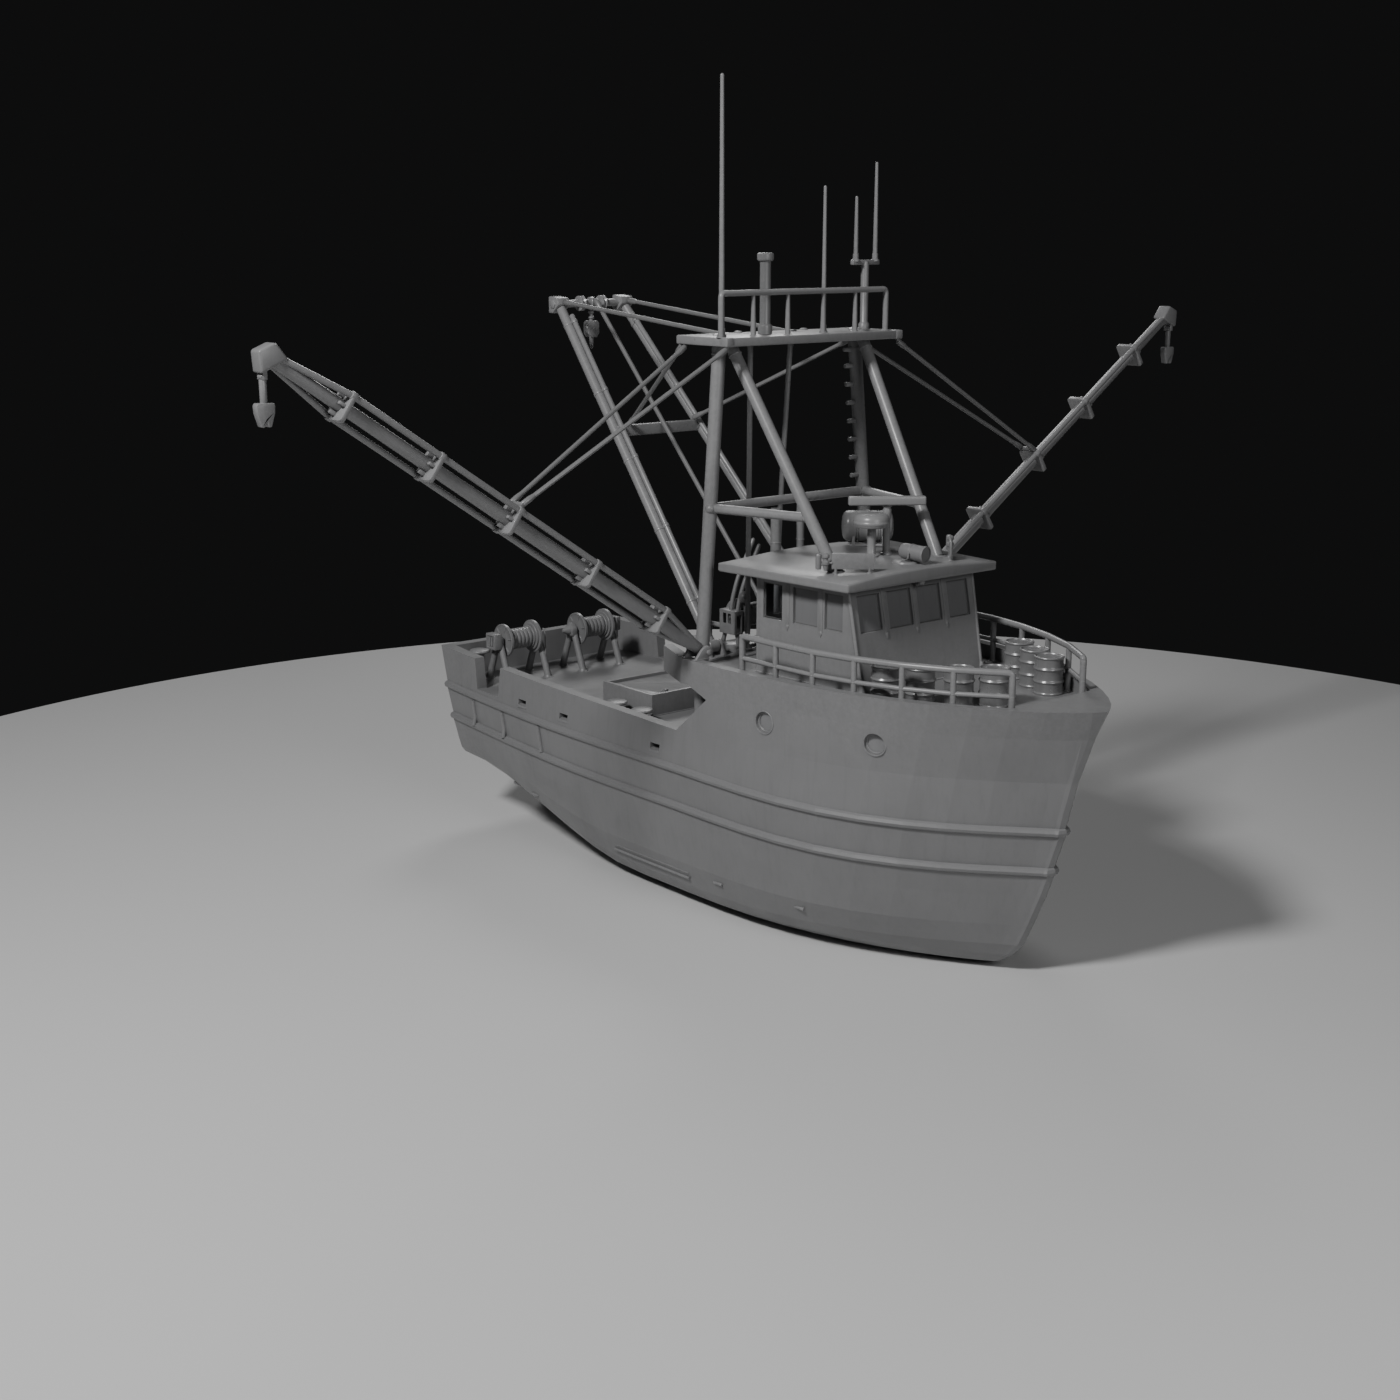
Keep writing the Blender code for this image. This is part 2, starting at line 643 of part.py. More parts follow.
def at_height(start, end, z):
    """The point of a straight line at a height."""
    return start.lerp(end, (z - start.z) / (end.z - start.z))


def flip(point):
    """The same point on the starboard side."""
    return Vector((point.x, -point.y, point.z))


def make_mast(material):
    """Four legs, the U-shaped frame between them and the rungs on the port leg."""
    leg_cross = at_height(LEG_FOOT, LEG_HEAD, CROSS_Z)
    strut_cross = at_height(STRUT_FOOT, STRUT_HEAD, CROSS_Z)
    sunk = LEG_FOOT + (LEG_FOOT - LEG_HEAD).normalized() * 0.1
    mast = rod(sunk, LEG_HEAD, LEG_RADIUS)
    fuse(mast, rod(flip(sunk), flip(LEG_HEAD), LEG_RADIUS))
    cut(mast, block((0, -4, RAISED_DECK_Z - 1), (1.2, 4, RAISED_DECK_Z + GAP)))
    fuse(mast, rod(flip(leg_cross), leg_cross, 0.12))
    fuse(mast, rod(leg_cross, strut_cross, 0.12), rod(flip(leg_cross), flip(strut_cross), 0.12))
    for pad, head in ((STRUT_FOOT, STRUT_HEAD), (flip(STRUT_FOOT), flip(STRUT_HEAD))):
        fuse(mast, rod(pad, head, STRUT_RADIUS))
        fuse(mast, rod((pad.x, pad.y, pad.z), (pad.x, pad.y, ROOF_EDGE_Z + 0.11), 0.21))
    seat_on_roof(mast)
    for z in RUNG_Z:
        middle = at_height(LEG_FOOT, LEG_HEAD, z)
        fuse(mast, block((middle.x - 0.02, middle.y - 0.42, z - 0.02), (middle.x + 0.02, middle.y, z + 0.02)))
    under, size = PLATFORM_Z - PLATFORM_THICK - GAP, 0.3
    for point in (LEG_HEAD, STRUT_HEAD):
        for head in (point, flip(point)):
            cut(mast, block((head.x - size, head.y - size, under), (head.x + size, head.y + size, 12.5)))
    finish(mast, "mast_frame", material)


PLATFORM_X = (-0.384, 1.427)
PLATFORM_HALF = 2.83
PLATFORM_RAIL_Z = 12.66
PLATFORM_POSTS = (-2.76, -1.79, -0.72, 0.41, 1.46, 2.49)
PLATFORM_RAIL_X = 1.15


def make_platform(material):
    """The mast-head platform with its front rail and the aerials that stand on it."""
    aft, fore = PLATFORM_X
    deck = block((aft, -PLATFORM_HALF, PLATFORM_Z - PLATFORM_THICK), (fore, PLATFORM_HALF, PLATFORM_Z))
    floor = PLATFORM_Z - 0.05
    first, last = PLATFORM_POSTS[0], PLATFORM_POSTS[-1]
    ends = ((first, floor), (first, PLATFORM_RAIL_Z), (last, PLATFORM_RAIL_Z), (last, floor))
    fuse(deck, tube([(PLATFORM_RAIL_X, y, z) for y, z in ends], 0.06))
    for y in PLATFORM_POSTS[1:-1]:
        fuse(deck, rod((PLATFORM_RAIL_X, y, floor), (PLATFORM_RAIL_X, y, PLATFORM_RAIL_Z), 0.045, 8))
    fuse(deck, rod((0.98, -2.6, floor), (0.98, -2.6, 17.42), 0.06, 8, 0.035))
    fuse(deck, rod((0.5, -0.85, floor), (0.5, -0.85, PLATFORM_Z + 0.22), 0.17))
    fuse(deck, rod((0.5, -0.85, PLATFORM_Z), (0.5, -0.85, 13.42), 0.125))
    fuse(deck, rod((0.5, -0.85, 13.34), (0.5, -0.85, 13.54), 0.2))
    fuse(deck, rod((1.12, 0.45, floor), (1.12, 0.45, 15.06), 0.05, 8, 0.03))
    fuse(deck, rod((0.3, 2.6, floor), (0.3, 2.6, PLATFORM_Z + 0.15), 0.14))
    fuse(deck, rod((0.3, 2.6, PLATFORM_Z), (0.3, 2.6, 13.3), 0.1))
    fuse(deck, block((0.24, 2.15, 13.22), (0.36, 3.05, 13.34)))
    fuse(deck, rod((0.3, 2.28, 13.28), (0.3, 2.28, 14.85), 0.05, 8, 0.03))
    fuse(deck, rod((0.3, 2.94, 13.28), (0.3, 2.94, 15.66), 0.055, 8, 0.03))
    finish(deck, "mast_platform", material)


# Feet of the gear on the roof start below its top and are trimmed to it
GEAR_BASE_Z = ROOF_EDGE_Z - 0.1
GEAR_PLATE_Z = ROOF_EDGE_Z + ROOF_CROWN + 0.035


def make_radar(material):
    """The radar's post, and the bar that turns on it."""
    x, y, top = 3.144, 0.68, 7.68
    post = rod((x, y, GEAR_BASE_Z), (x, y, 7.6), 0.085)
    fuse(post, rod((x, y, GEAR_BASE_Z), (x, y, GEAR_PLATE_Z), 0.15))
    fuse(post, rod((x, y, 7.45), (x, y, top), 0.105))
    finish(seat_on_roof(post), "radar_pedestal", material)
    hub = rod((x, y, top + GAP), (x, y, 7.79), 0.09)
    bar = block((-0.92, -0.1, 7.755), (0.92, 0.1, 7.995))
    bar.data.transform(Matrix.Translation((x, y, 0)) @ Matrix.Rotation(math.radians(54), 4, "Z"))
    finish(fuse(bar, hub), "radar_bar", material, (x, y, top))


def make_dome(material):
    """The satellite aerial's flat dome on its stem."""
    x, y = 3.21, 0.12
    dome = rod((x, y, GEAR_BASE_Z), (x, y, 7.4), 0.1)
    fuse(dome, rod((x, y, GEAR_BASE_Z), (x, y, GEAR_PLATE_Z), 0.17))
    shell = [(0.0, 7.65), (0.33, 7.64), (0.39, 7.6), (0.42, 7.45), (0.43, 7.42), (0.43, 7.37), (0.38, 7.33)]
    fuse(dome, moved(turned(shell + [(0.0, 7.31)], 20), (x, y, 0)))
    finish(seat_on_roof(dome), "satellite_dome", material)


def make_liferaft(material):
    """The liferaft's canister lying in its cradle."""
    z, radius = 7.06, 0.37
    end = [(0.0, 0.63), (radius - 0.08, 0.61), (radius, 0.53), (radius, 0.03), (radius + 0.02, 0.03)]
    profile = end + [(out, -along) for out, along in reversed(end)]
    canister = turned(profile, 20, "Y")
    for y in (-0.36, 0.36):
        fuse(canister, block((-0.26, y - 0.04, GEAR_BASE_Z - z), (0.26, y + 0.04, -0.2)))
    place = Matrix.Translation((1.775, 1.41, z)) @ Matrix.Rotation(math.radians(-39.6), 4, "Z")
    canister.data.transform(place)
    finish(seat_on_roof(canister), "liferaft_canister", material)


def make_roof_lights(material):
    """The searchlight, and the sidelights' boards with their lanterns."""
    x, y = 4.28, 0.18
    lamp = rod((x, y, GEAR_BASE_Z), (x, y, GEAR_PLATE_Z + 0.02), 0.33, 20)
    fuse(lamp, rod((x, y, GEAR_BASE_Z), (x, y, 6.85), 0.08))
    fuse(lamp, rod((4.14, 0.15, 6.89), (4.83, 0.27, 6.85), 0.195, 20))
    finish(seat_on_roof(lamp), "searchlight", material)
    for name, sign in (("starboard", -1), ("port", 1)):
        near = Vector((4.02, sign * 1.93, 0))
        far = Vector((4.68, sign * 1.25, 0))
        run = (far - near).normalized() * 0.03
        across = Vector((-run.y, run.x, 0))
        outline = [near - across, far - across, far + across, near + across]
        board = plate([(p.x, p.y) for p in outline], 6.65, 7.03)
        for share in (0.1, 0.9):
            foot = near.lerp(far, share)
            fuse(board, rod((foot.x, foot.y, GEAR_BASE_Z), (foot.x, foot.y, 6.7), 0.028, 8))
        outer = near + Vector((-0.09, sign * 0.13, 0))
        fuse(board, rod((outer.x, outer.y, 6.62), (outer.x, outer.y, 7.0), 0.09))
        y_low, y_high = sorted((near.y, outer.y))
        fuse(board, block((outer.x - 0.02, y_low - 0.02, 6.76), (near.x + 0.03, y_high + 0.02, 6.84)))
        finish(seat_on_roof(board), "sidelight_" + name, material)


def boom_point(share, side=1):
    """A point on a boom leg, from foot to head."""
    point = BOOM_FOOT.lerp(BOOM_HEAD, share)
    return Vector((point.x, side * point.y, point.z))


def make_boom(material):
    """The aft A-frame: two legs with their pipes, head bar with wedge blocks and sheaves, crossbar."""
    up = Vector((0.11, 0, 0.1))
    boom = rod(boom_point(0.01), boom_point(1.0), 0.13)
    fuse(boom, rod(boom_point(0.01, -1), boom_point(1.0, -1), 0.13))
    head_y = BOOM_HEAD.y
    fuse(boom, rod(boom_point(1.0, -1), boom_point(1.0), 0.1))
    cross = boom_point(BOOM_CROSS_AT)
    fuse(boom, block((cross.x - 0.1, -cross.y, cross.z - 0.14), (cross.x + 0.1, cross.y, cross.z + 0.14)))
    for side in (1, -1):
        inward = Vector((0, -side * 0.1, 0))
        start = boom_point(0.1, side) + up * 1.15 + inward
        end = boom_point(0.95, side) + up * 1.15 + inward
        fuse(boom, rod(start, end, 0.055, 8))
        for share in (0.12, 0.32, 0.52, 0.72, 0.93):
            middle = boom_point(share, side)
            fuse(boom, rod(middle, middle + up * 1.15 + inward, 0.04, 6))
        head = boom_point(1.0, side)
        wedge = ((-0.2, -0.24), (-0.02, -0.24), (0.24, -0.02), (0.2, 0.16), (-0.2, 0.2))
        wedge = [(head.x + x, head.z + z) for x, z in wedge]
        y = side * head_y
        fuse(boom, plate(wedge, y - 0.2, y + 0.2, "XZ"))
        foot = boom_point(0.0, side)
        eye = rod((foot.x, foot.y - 0.15, foot.z), (foot.x, foot.y + 0.15, foot.z), 0.16)
        fuse(boom, eye)
    for y in (-0.35, 0.35):
        fuse(boom, rod((BOOM_HEAD.x, y - 0.07, BOOM_HEAD.z), (BOOM_HEAD.x, y + 0.07, BOOM_HEAD.z), 0.2, 14))
    for side in (1, -1):
        foot = boom_point(0.0, side)
        cut(boom, bore((foot.x, foot.y - 0.4, foot.z), (foot.x, foot.y + 0.4, foot.z), 0.06))
    pivot = Vector((BOOM_FOOT.x, 0, BOOM_FOOT.z))
    finish(boom, "aft_boom", material, pivot)


def make_boom_feet(material):
    """The shoes that the boom's legs are pinned in."""
    low = RAISED_DECK_Z + GAP
    for name, side in (("starboard", -1), ("port", 1)):
        foot = boom_point(0.0, side)
        top = foot.z + 0.14
        shoe = None
        for inner, outer in ((0.18, 0.26), (-0.26, -0.18)):
            outline = [(foot.x - 0.3, low), (foot.x + 0.3, low), (foot.x + 0.12, top), (foot.x - 0.12, top)]
            ear = plate(outline, foot.y + inner, foot.y + outer, "XZ")
            shoe = ear if shoe is None else fuse(shoe, ear)
        fuse(shoe, rod((foot.x, foot.y - 0.28, foot.z), (foot.x, foot.y + 0.28, foot.z), 0.06))
        finish(shoe, "boom_foot_" + name, material)


def make_boom_block(material):
    """The block that hangs from the middle of the boom's head bar."""
    drop = BOOM_HEAD.z
    hang = rod((BOOM_HEAD.x, -0.06, drop), (BOOM_HEAD.x, 0.06, drop), 0.16)
    fuse(hang, rod((BOOM_HEAD.x, 0, drop - 0.12), (BOOM_HEAD.x, 0, drop - 0.5), 0.055))
    fuse(hang, block((BOOM_HEAD.x - 0.12, -0.18, drop - 0.9), (BOOM_HEAD.x + 0.12, 0.18, drop - 0.46)))
    fuse(hang, rod((BOOM_HEAD.x, 0, drop - 0.85), (BOOM_HEAD.x, 0, drop - 1.2), 0.07))
    cut(hang, bore((BOOM_HEAD.x, -0.1, drop), (BOOM_HEAD.x, 0.1, drop), 0.1))
    finish(hang, "boom_block", material, (BOOM_HEAD.x, 0, drop))


def make_stays(material):
    """Wires of the rigging, from the platform to the boom and to the outriggers."""
    under = PLATFORM_Z - PLATFORM_THICK - GAP
    aft_face = PLATFORM_X[0]
    for name, side in (("starboard", -1), ("port", 1)):
        head = boom_point(1.0, side) + Vector((0.29, 0, 0.05))
        end = Vector((aft_face - 0.0055, side * 1.06, PLATFORM_Z - 0.1))
        finish(rod(head, end, 0.055, 8), "head_stay_" + name, material)
        cross = boom_point(BOOM_CROSS_AT, side)
        start = Vector((cross.x + 0.15, side * (abs(cross.y) - 0.35), cross.z + 0.2))
        corner = Vector((aft_face + 0.08, side * (PLATFORM_HALF - 0.08), under - 0.08))
        stay = rod(start, corner, 0.05, 8)
        fuse(stay, rod(corner, (corner.x, corner.y, under), 0.05, 8))
        finish(stay, "cross_stay_" + name, material)
        plate_top = 0.33 + 0.055 + GAP
        eye = outrigger_point(SPREADERS[2], side) + outrigger_up(side) * plate_top
        fore = Vector((PLATFORM_X[1] - 0.1, side * (PLATFORM_HALF - 0.08), under - 0.06))
        aft = Vector((aft_face + 0.24, side * (PLATFORM_HALF - 0.08), under - 0.06))
        stay = rod(eye - Vector((0.26, 0, 0)), eye + Vector((0.26, 0, 0)), 0.055, 8)
        for reach, corner in ((0.2, fore), (-0.2, aft)):
            fuse(stay, rod(eye + Vector((reach, 0, 0)), corner, 0.045, 8))
            fuse(stay, rod(corner, (corner.x, corner.y, under), 0.045, 8))
        finish(stay, "topping_stays_" + name, material)


def outrigger_point(distance, side=1):
    """A point on an outrigger's centreline at a distance from its heel pin."""
    out = HEEL.y + distance * math.cos(OUTRIGGER_ANGLE)
    return Vector((HEEL.x, side * out, HEEL.z + distance * math.sin(OUTRIGGER_ANGLE)))


def outrigger_up(side=1):
    """The direction square to an outrigger, in its vertical plane."""
    return Vector((0, -side * math.sin(OUTRIGGER_ANGLE), math.cos(OUTRIGGER_ANGLE)))


def make_outrigger(name, side, material):
    """Tube, two truss rods, spreader plates and tip block, turned up to the fishing angle."""
    fore = Vector((1, 0, 0))
    spread = 0.25
    up = outrigger_up(side)
    pole = rod(outrigger_point(0.1, side), outrigger_point(OUTRIGGER_LENGTH - 0.1, side), 0.15, 12, 0.11)
    pin = outrigger_point(0, side)
    fuse(pole, rod(pin - fore * 0.14, pin + fore * 0.14, 0.13))
    half = 0.33
    along = (outrigger_point(1, side) - pin).normalized()
    for distance in SPREADERS:
        middle = outrigger_point(distance, side)
        shape = bmesh.new()
        bmesh.ops.create_cube(shape, size=1.0)
        place = Matrix((
            (fore.x, up.x, along.x, middle.x), (fore.y, up.y, along.y, middle.y),
            (fore.z, up.z, along.z, middle.z), (0, 0, 0, 1),
        )) @ Matrix.Diagonal((2 * half, 2 * half, 0.09, 1))
        bmesh.ops.transform(shape, matrix=place, verts=shape.verts)
        fuse(pole, from_bmesh(shape))
    for sign in (1, -1):
        offset = (fore + up) * sign
        points = [outrigger_point(0.35, side) + offset * 0.08]
        points += [outrigger_point(distance, side) + offset * spread for distance in SPREADERS]
        points.append(outrigger_point(OUTRIGGER_LENGTH - 0.5, side) + offset * 0.08)
        fuse(pole, tube(points, 0.05))
    tip = outrigger_point(OUTRIGGER_LENGTH, side)
    corners = ((0.33, -0.21), (-0.33, -0.21), (-0.2, 0.21), (0.2, 0.21))
    tilt = math.radians(-22)
    outline = []
    for out, rise in corners:
        turned_out = out * math.cos(tilt) - rise * math.sin(tilt)
        outline.append((tip.y + side * turned_out, tip.z + out * math.sin(tilt) + rise * math.cos(tilt)))
    fuse(pole, plate(outline, HEEL.x - 0.18, HEEL.x + 0.18, "YZ"))
    hang = Vector((HEEL.x, tip.y + 0.12 * side, tip.z - 0.39))
    for low in (-0.12, 0.085):
        lug_low = (HEEL.x + low, hang.y - 0.05, hang.z - 0.05)
        fuse(pole, block(lug_low, (HEEL.x + low + 0.035, hang.y + 0.05, tip.z - 0.05)))
    fuse(pole, rod(hang - fore * 0.115, hang + fore * 0.115, 0.03))
    cut(pole, bore(pin - fore * 0.5, pin + fore * 0.5, 0.05))
    finish(pole, "outrigger_" + name, material, pin)
    weight = rod(hang, hang - Vector((0, 0, 0.62)), 0.07)
    fuse(weight, rod(hang - fore * 0.075, hang + fore * 0.075, 0.07))
    drop = hang.z - 0.5
    low = drop - 0.46
    shape = [
        (hang.y - 0.19, drop), (hang.y + 0.19, drop), (hang.y + 0.19, drop - 0.2),
        (hang.y + 0.11, low), (hang.y, low + 0.1), (hang.y - 0.11, low), (hang.y - 0.19, drop - 0.2),
    ]
    fuse(weight, plate(shape, HEEL.x - 0.1, HEEL.x + 0.1, "YZ"))
    cut(weight, bore(hang - fore * 0.1, hang + fore * 0.1, 0.03))
    finish(weight, "outrigger_weight_" + name, material, hang)


def make_heel_bracket(name, side, material):
    """Two cheeks on the rim with the heel pin between them."""
    pin = Vector((HEEL.x, side * HEEL.y, HEEL.z))
    foot = RIM_Z + GAP
    bracket = None
    for low, high in ((-0.26, -0.17), (0.17, 0.26)):
        shape = ((0.03, foot), (0.4, foot), (0.2, pin.z + 0.08), (0.05, pin.z + 0.15), (-0.07, pin.z + 0.13))
        shape += ((-0.14, pin.z + 0.02), (-0.11, pin.z - 0.08), (-0.02, pin.z - 0.1))
        cheek = plate([(pin.y + side * out, rise) for out, rise in shape], pin.x + low, pin.x + high, "YZ")
        bracket = cheek if bracket is None else fuse(bracket, cheek)
    fuse(bracket, rod((pin.x - 0.3, pin.y, pin.z), (pin.x + 0.3, pin.y, pin.z), 0.05))
    finish(bracket, "heel_bracket_" + name, material)


def winch_drum(length, flange, barrel, ridges, axle, steps=12):
    """A rope drum about Y: two flanges and a ridged barrel round a bored hub."""
    half = length / 2
    thick = 0.05
    hole = bore_radius(axle, steps)
    profile = [(hole, half), (flange, half), (flange, half - thick), (barrel, half - thick)]
    pitch = (length - 2 * thick) / ridges
    for index in range(ridges):
        top = half - thick - index * pitch
        profile += [(barrel + 0.035, top - pitch * 0.5), (barrel, top - pitch * 0.98)]
    profile += [(flange, -half + thick), (flange, -half), (hole, -half)]
    drum = turned(profile, steps, "Y")
    drum.data.transform(Matrix.Rotation(math.pi / steps, 4, "Y"))
    return drum


def winch_stand(x, y, z):
    """An A-shaped stand from the deck to the end of a winch's axle."""
    foot = MAIN_DECK_Z + GAP
    left = [(x - 0.56, foot), (x - 0.42, foot), (x, z - 0.25)]
    right = [(x + 0.42, foot), (x + 0.56, foot), (x + 0.07, z + 0.02), (x - 0.07, z + 0.02)]
    return plate(left + right, y - 0.05, y + 0.05, "XZ")


def make_stern_winches(material):
    """Two winches across the stern, each a drum on an axle between A-shaped stands."""
    axle = 0.06
    x, z = STERN_WINCH_X, STERN_WINCH_Z
    for name, flanges, stands in STERN_WINCHES:
        low, high = stands
        frame = rod((x, low - 0.06, z), (x, high + 0.06, z), axle)
        for y in stands:
            fuse(frame, winch_stand(x, y, z))
            fuse(frame, rod((x, y - 0.06, z), (x, y + 0.06, z), 0.14))
        if name == "1":
            box_y = low - 0.04
            fuse(frame, block((x - 0.22, box_y - 0.24, z - 0.2), (x + 0.22, box_y, z + 0.24)))
        else:
            fuse(frame, rod((x, low - 0.3, z), (x, low, z), 0.06, 12, 0.2))
            fuse(frame, block((x - 0.18, high + 0.04, z - 0.2), (x + 0.18, high + 0.28, z + 0.2)))
        finish(frame, "stern_winch_frame_" + name, material)
        middle = (flanges[0] + flanges[1]) / 2
        length = flanges[1] - flanges[0] + 0.05
        centre = (x, middle, z)
        drum = moved(winch_drum(length, 0.46, 0.2, 6, axle), centre)
        finish(drum, "stern_winch_drum_" + name, material, centre)


def make_deck_winch(material):
    """The winch between the boom legs: a stepped base, two side frames, an axle and the drum."""
    x, z = DECK_WINCH_X, DECK_WINCH_Z
    deck = RAISED_DECK_Z + GAP
    base = block((x - 0.35, -1.25, deck), (x + 0.4, 0.7, deck + 0.18))
    fuse(base, block((x + 0.3, -1.25, deck), (x + 0.6, 0.7, deck + 0.12)))
    fuse(base, block((x + 0.5, -1.25, deck), (x + 0.8, 0.7, deck + 0.06)))
    for y in (-1.12, 0.5):
        for offset in (-0.26, 0.2):
            fuse(base, block((x + offset, y - 0.05, deck), (x + offset + 0.09, y + 0.05, z + 0.2)))
        fuse(base, block((x - 0.26, y - 0.05, z - 0.08), (x + 0.29, y + 0.05, z + 0.08)))
        fuse(base, block((x - 0.26, y - 0.05, z + 0.12), (x + 0.29, y + 0.05, z + 0.2)))
    fuse(base, rod((x, -1.2, z), (x, 0.58, z), 0.06))
    finish(base, "deck_winch_frame", material)
    drum = moved(winch_drum(1.3, 0.43, 0.2, 7, 0.06, 14), (x, -0.31, z))
    finish(drum, "deck_winch_drum", material, (x, -0.31, z))


HATCH_X = (-5.15, -3.05)
HATCH_HALF = 1.5
HATCH_Z = 2.36
HATCH_WALL = 0.12


def make_hatch(material):
    """Coaming with a ledge and the cover that lies recessed in it, hinged at its forward edge."""
    low, high = HATCH_X
    wall = HATCH_WALL
    coaming = block((low, -HATCH_HALF, MAIN_DECK_Z + GAP), (high, HATCH_HALF, HATCH_Z))
    side = HATCH_HALF - wall
    cut(coaming, block((low + wall, -side, HATCH_Z - 0.16), (high - wall, side, HATCH_Z + 1)))
    inner = wall + 0.1
    side = HATCH_HALF - inner
    cut(coaming, block((low + inner, -side, 0), (high - inner, side, HATCH_Z + 1)))
    finish(coaming, "hatch_coaming", material)
    clear = 0.012
    axis = Vector((high - wall - clear, 0, HATCH_Z + 0.02))
    cover = block(
        (low + wall + clear, -HATCH_HALF + wall + clear, HATCH_Z - 0.16 + GAP),
        (high - wall - clear - 0.03, HATCH_HALF - wall - clear, HATCH_Z - 0.08),
    )
    under, top = HATCH_Z - 0.1, axis.z + 0.02
    arm = [(-0.25, under), (-0.03, under), (0.0, HATCH_Z), (0.0, top), (-0.08, top)]
    for y in (-0.9, 0.9):
        fuse(cover, plate([(axis.x + x, z) for x, z in arm], y - 0.06, y + 0.06, "XZ"))
    finish(cover, "hatch_cover", material, axis)


def make_stacks(material):
    """Two exhaust pipes aft of the wheelhouse, joined by a strap."""
    deck = RAISED_DECK_Z + GAP
    stacks = rod((0.6, -0.54, deck), (0.6, -0.54, 7.55), 0.125)
    fuse(stacks, rod((0.6, 0.27, deck), (0.6, 0.27, 7.56), 0.095))
    for z in (4.6, 6.2):
        fuse(stacks, block((0.57, -0.54, z), (0.63, 0.27, z + 0.08)))
    finish(stacks, "exhaust_stacks", material)


def make_pillars(material):
    """Legs under the raised deck that carry the mast's load to the main deck."""
    for name, side in (("starboard", -1), ("port", 1)):
        y = side * LEG_FOOT.y
        pillar = rod((0.52, y, MAIN_DECK_Z + GAP), (0.52, y, FASCIA_Z - GAP), LEG_RADIUS)
        finish(pillar, "deck_pillar_" + name, material)


def make_propeller(material):
    """Four blades on a hub, with the shaft that runs into the stern tube."""
    radius = 0.6
    middle = Vector((PROPELLER_X, 0, PROPELLER_Z))
    wheel = rod(middle + Vector((-0.16, 0, 0)), middle + Vector((0.14, 0, 0)), 0.09, 12, 0.14)
    fuse(wheel, rod(middle, (-8.0, 0, PROPELLER_Z), 0.08))
    for index in range(4):
        angle = math.pi / 2 * index
        turn = Matrix.Rotation(angle, 4, "X") @ Matrix.Rotation(math.radians(32), 4, "Z")
        offset = Matrix.Rotation(angle, 4, "X") @ Vector((0, 0, radius * 0.56))
        blade = ball(middle + offset, (0.035, 0.2, radius * 0.44), turn)
        fuse(wheel, blade)
    finish(wheel, "propeller", material, middle)


def make_rudder(material):
    """A balanced plate rudder on a stock, stepped in the sole piece."""
    outline = ((0.12, -1.95), (0.12, -0.62), (-0.62, -0.66), (-0.68, -1.95))
    blade = plate([(RUDDER_X + x, z) for x, z in outline], -0.05, 0.05, "XZ")
    fuse(blade, rod((RUDDER_X, 0, -2.0), (RUDDER_X, 0, -0.1), 0.08))
    fuse(blade, rod((RUDDER_X, 0, -2.14), (RUDDER_X, 0, -1.9), 0.05))
    finish(blade, "rudder", material, (RUDDER_X, 0, -1.0))


def main():
    """Builds the whole boat."""
    clear_scene()
    hull_paint = paint("hull_paint", (0.2, 0.2, 0.2), 0.45)
    house_paint = paint("house_paint", (0.22, 0.22, 0.22), 0.45)
    rig_paint = paint("rig_paint", (0.22, 0.22, 0.22), 0.4)
    gear_paint = paint("gear_paint", (0.2, 0.2, 0.2), 0.4)
    drum_paint = paint("drum_paint", (0.21, 0.21, 0.21), 0.35)
    wire = paint("wire", (0.2, 0.2, 0.2), 0.4, 0.6)
    gel_coat = paint("gel_coat", (0.26, 0.26, 0.26), 0.35)
    bronze = paint("bronze", (0.45, 0.33, 0.18), 0.35, 1.0)
    make_hull(hull_paint)
    make_front_wall(house_paint)
    make_side_walls(house_paint)
    make_aft_wall(house_paint)
    finish(roof_body(), "wheelhouse_roof", house_paint)
    make_rails(rig_paint)
    make_drums(drum_paint)
    make_mast(rig_paint)
    make_platform(rig_paint)
    make_radar(gel_coat)
    make_dome(gel_coat)
    make_liferaft(gel_coat)
    make_roof_lights(gear_paint)
    make_boom(rig_paint)
    make_boom_feet(rig_paint)
    make_boom_block(rig_paint)
    make_stays(wire)
    for name, side in (("starboard", -1), ("port", 1)):
        make_outrigger(name, side, rig_paint)
        make_heel_bracket(name, side, rig_paint)
    make_stern_winches(gear_paint)
    make_deck_winch(gear_paint)
    make_hatch(gear_paint)
    make_stacks(gear_paint)
    make_pillars(rig_paint)
    make_propeller(bronze)
    make_rudder(hull_paint)


main()
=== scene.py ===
# Looks of a western-rig steel trawler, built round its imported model. Metres, +X to the bow, +Y to port, +Z up.

import math

import bpy
from mathutils import Matrix, Vector


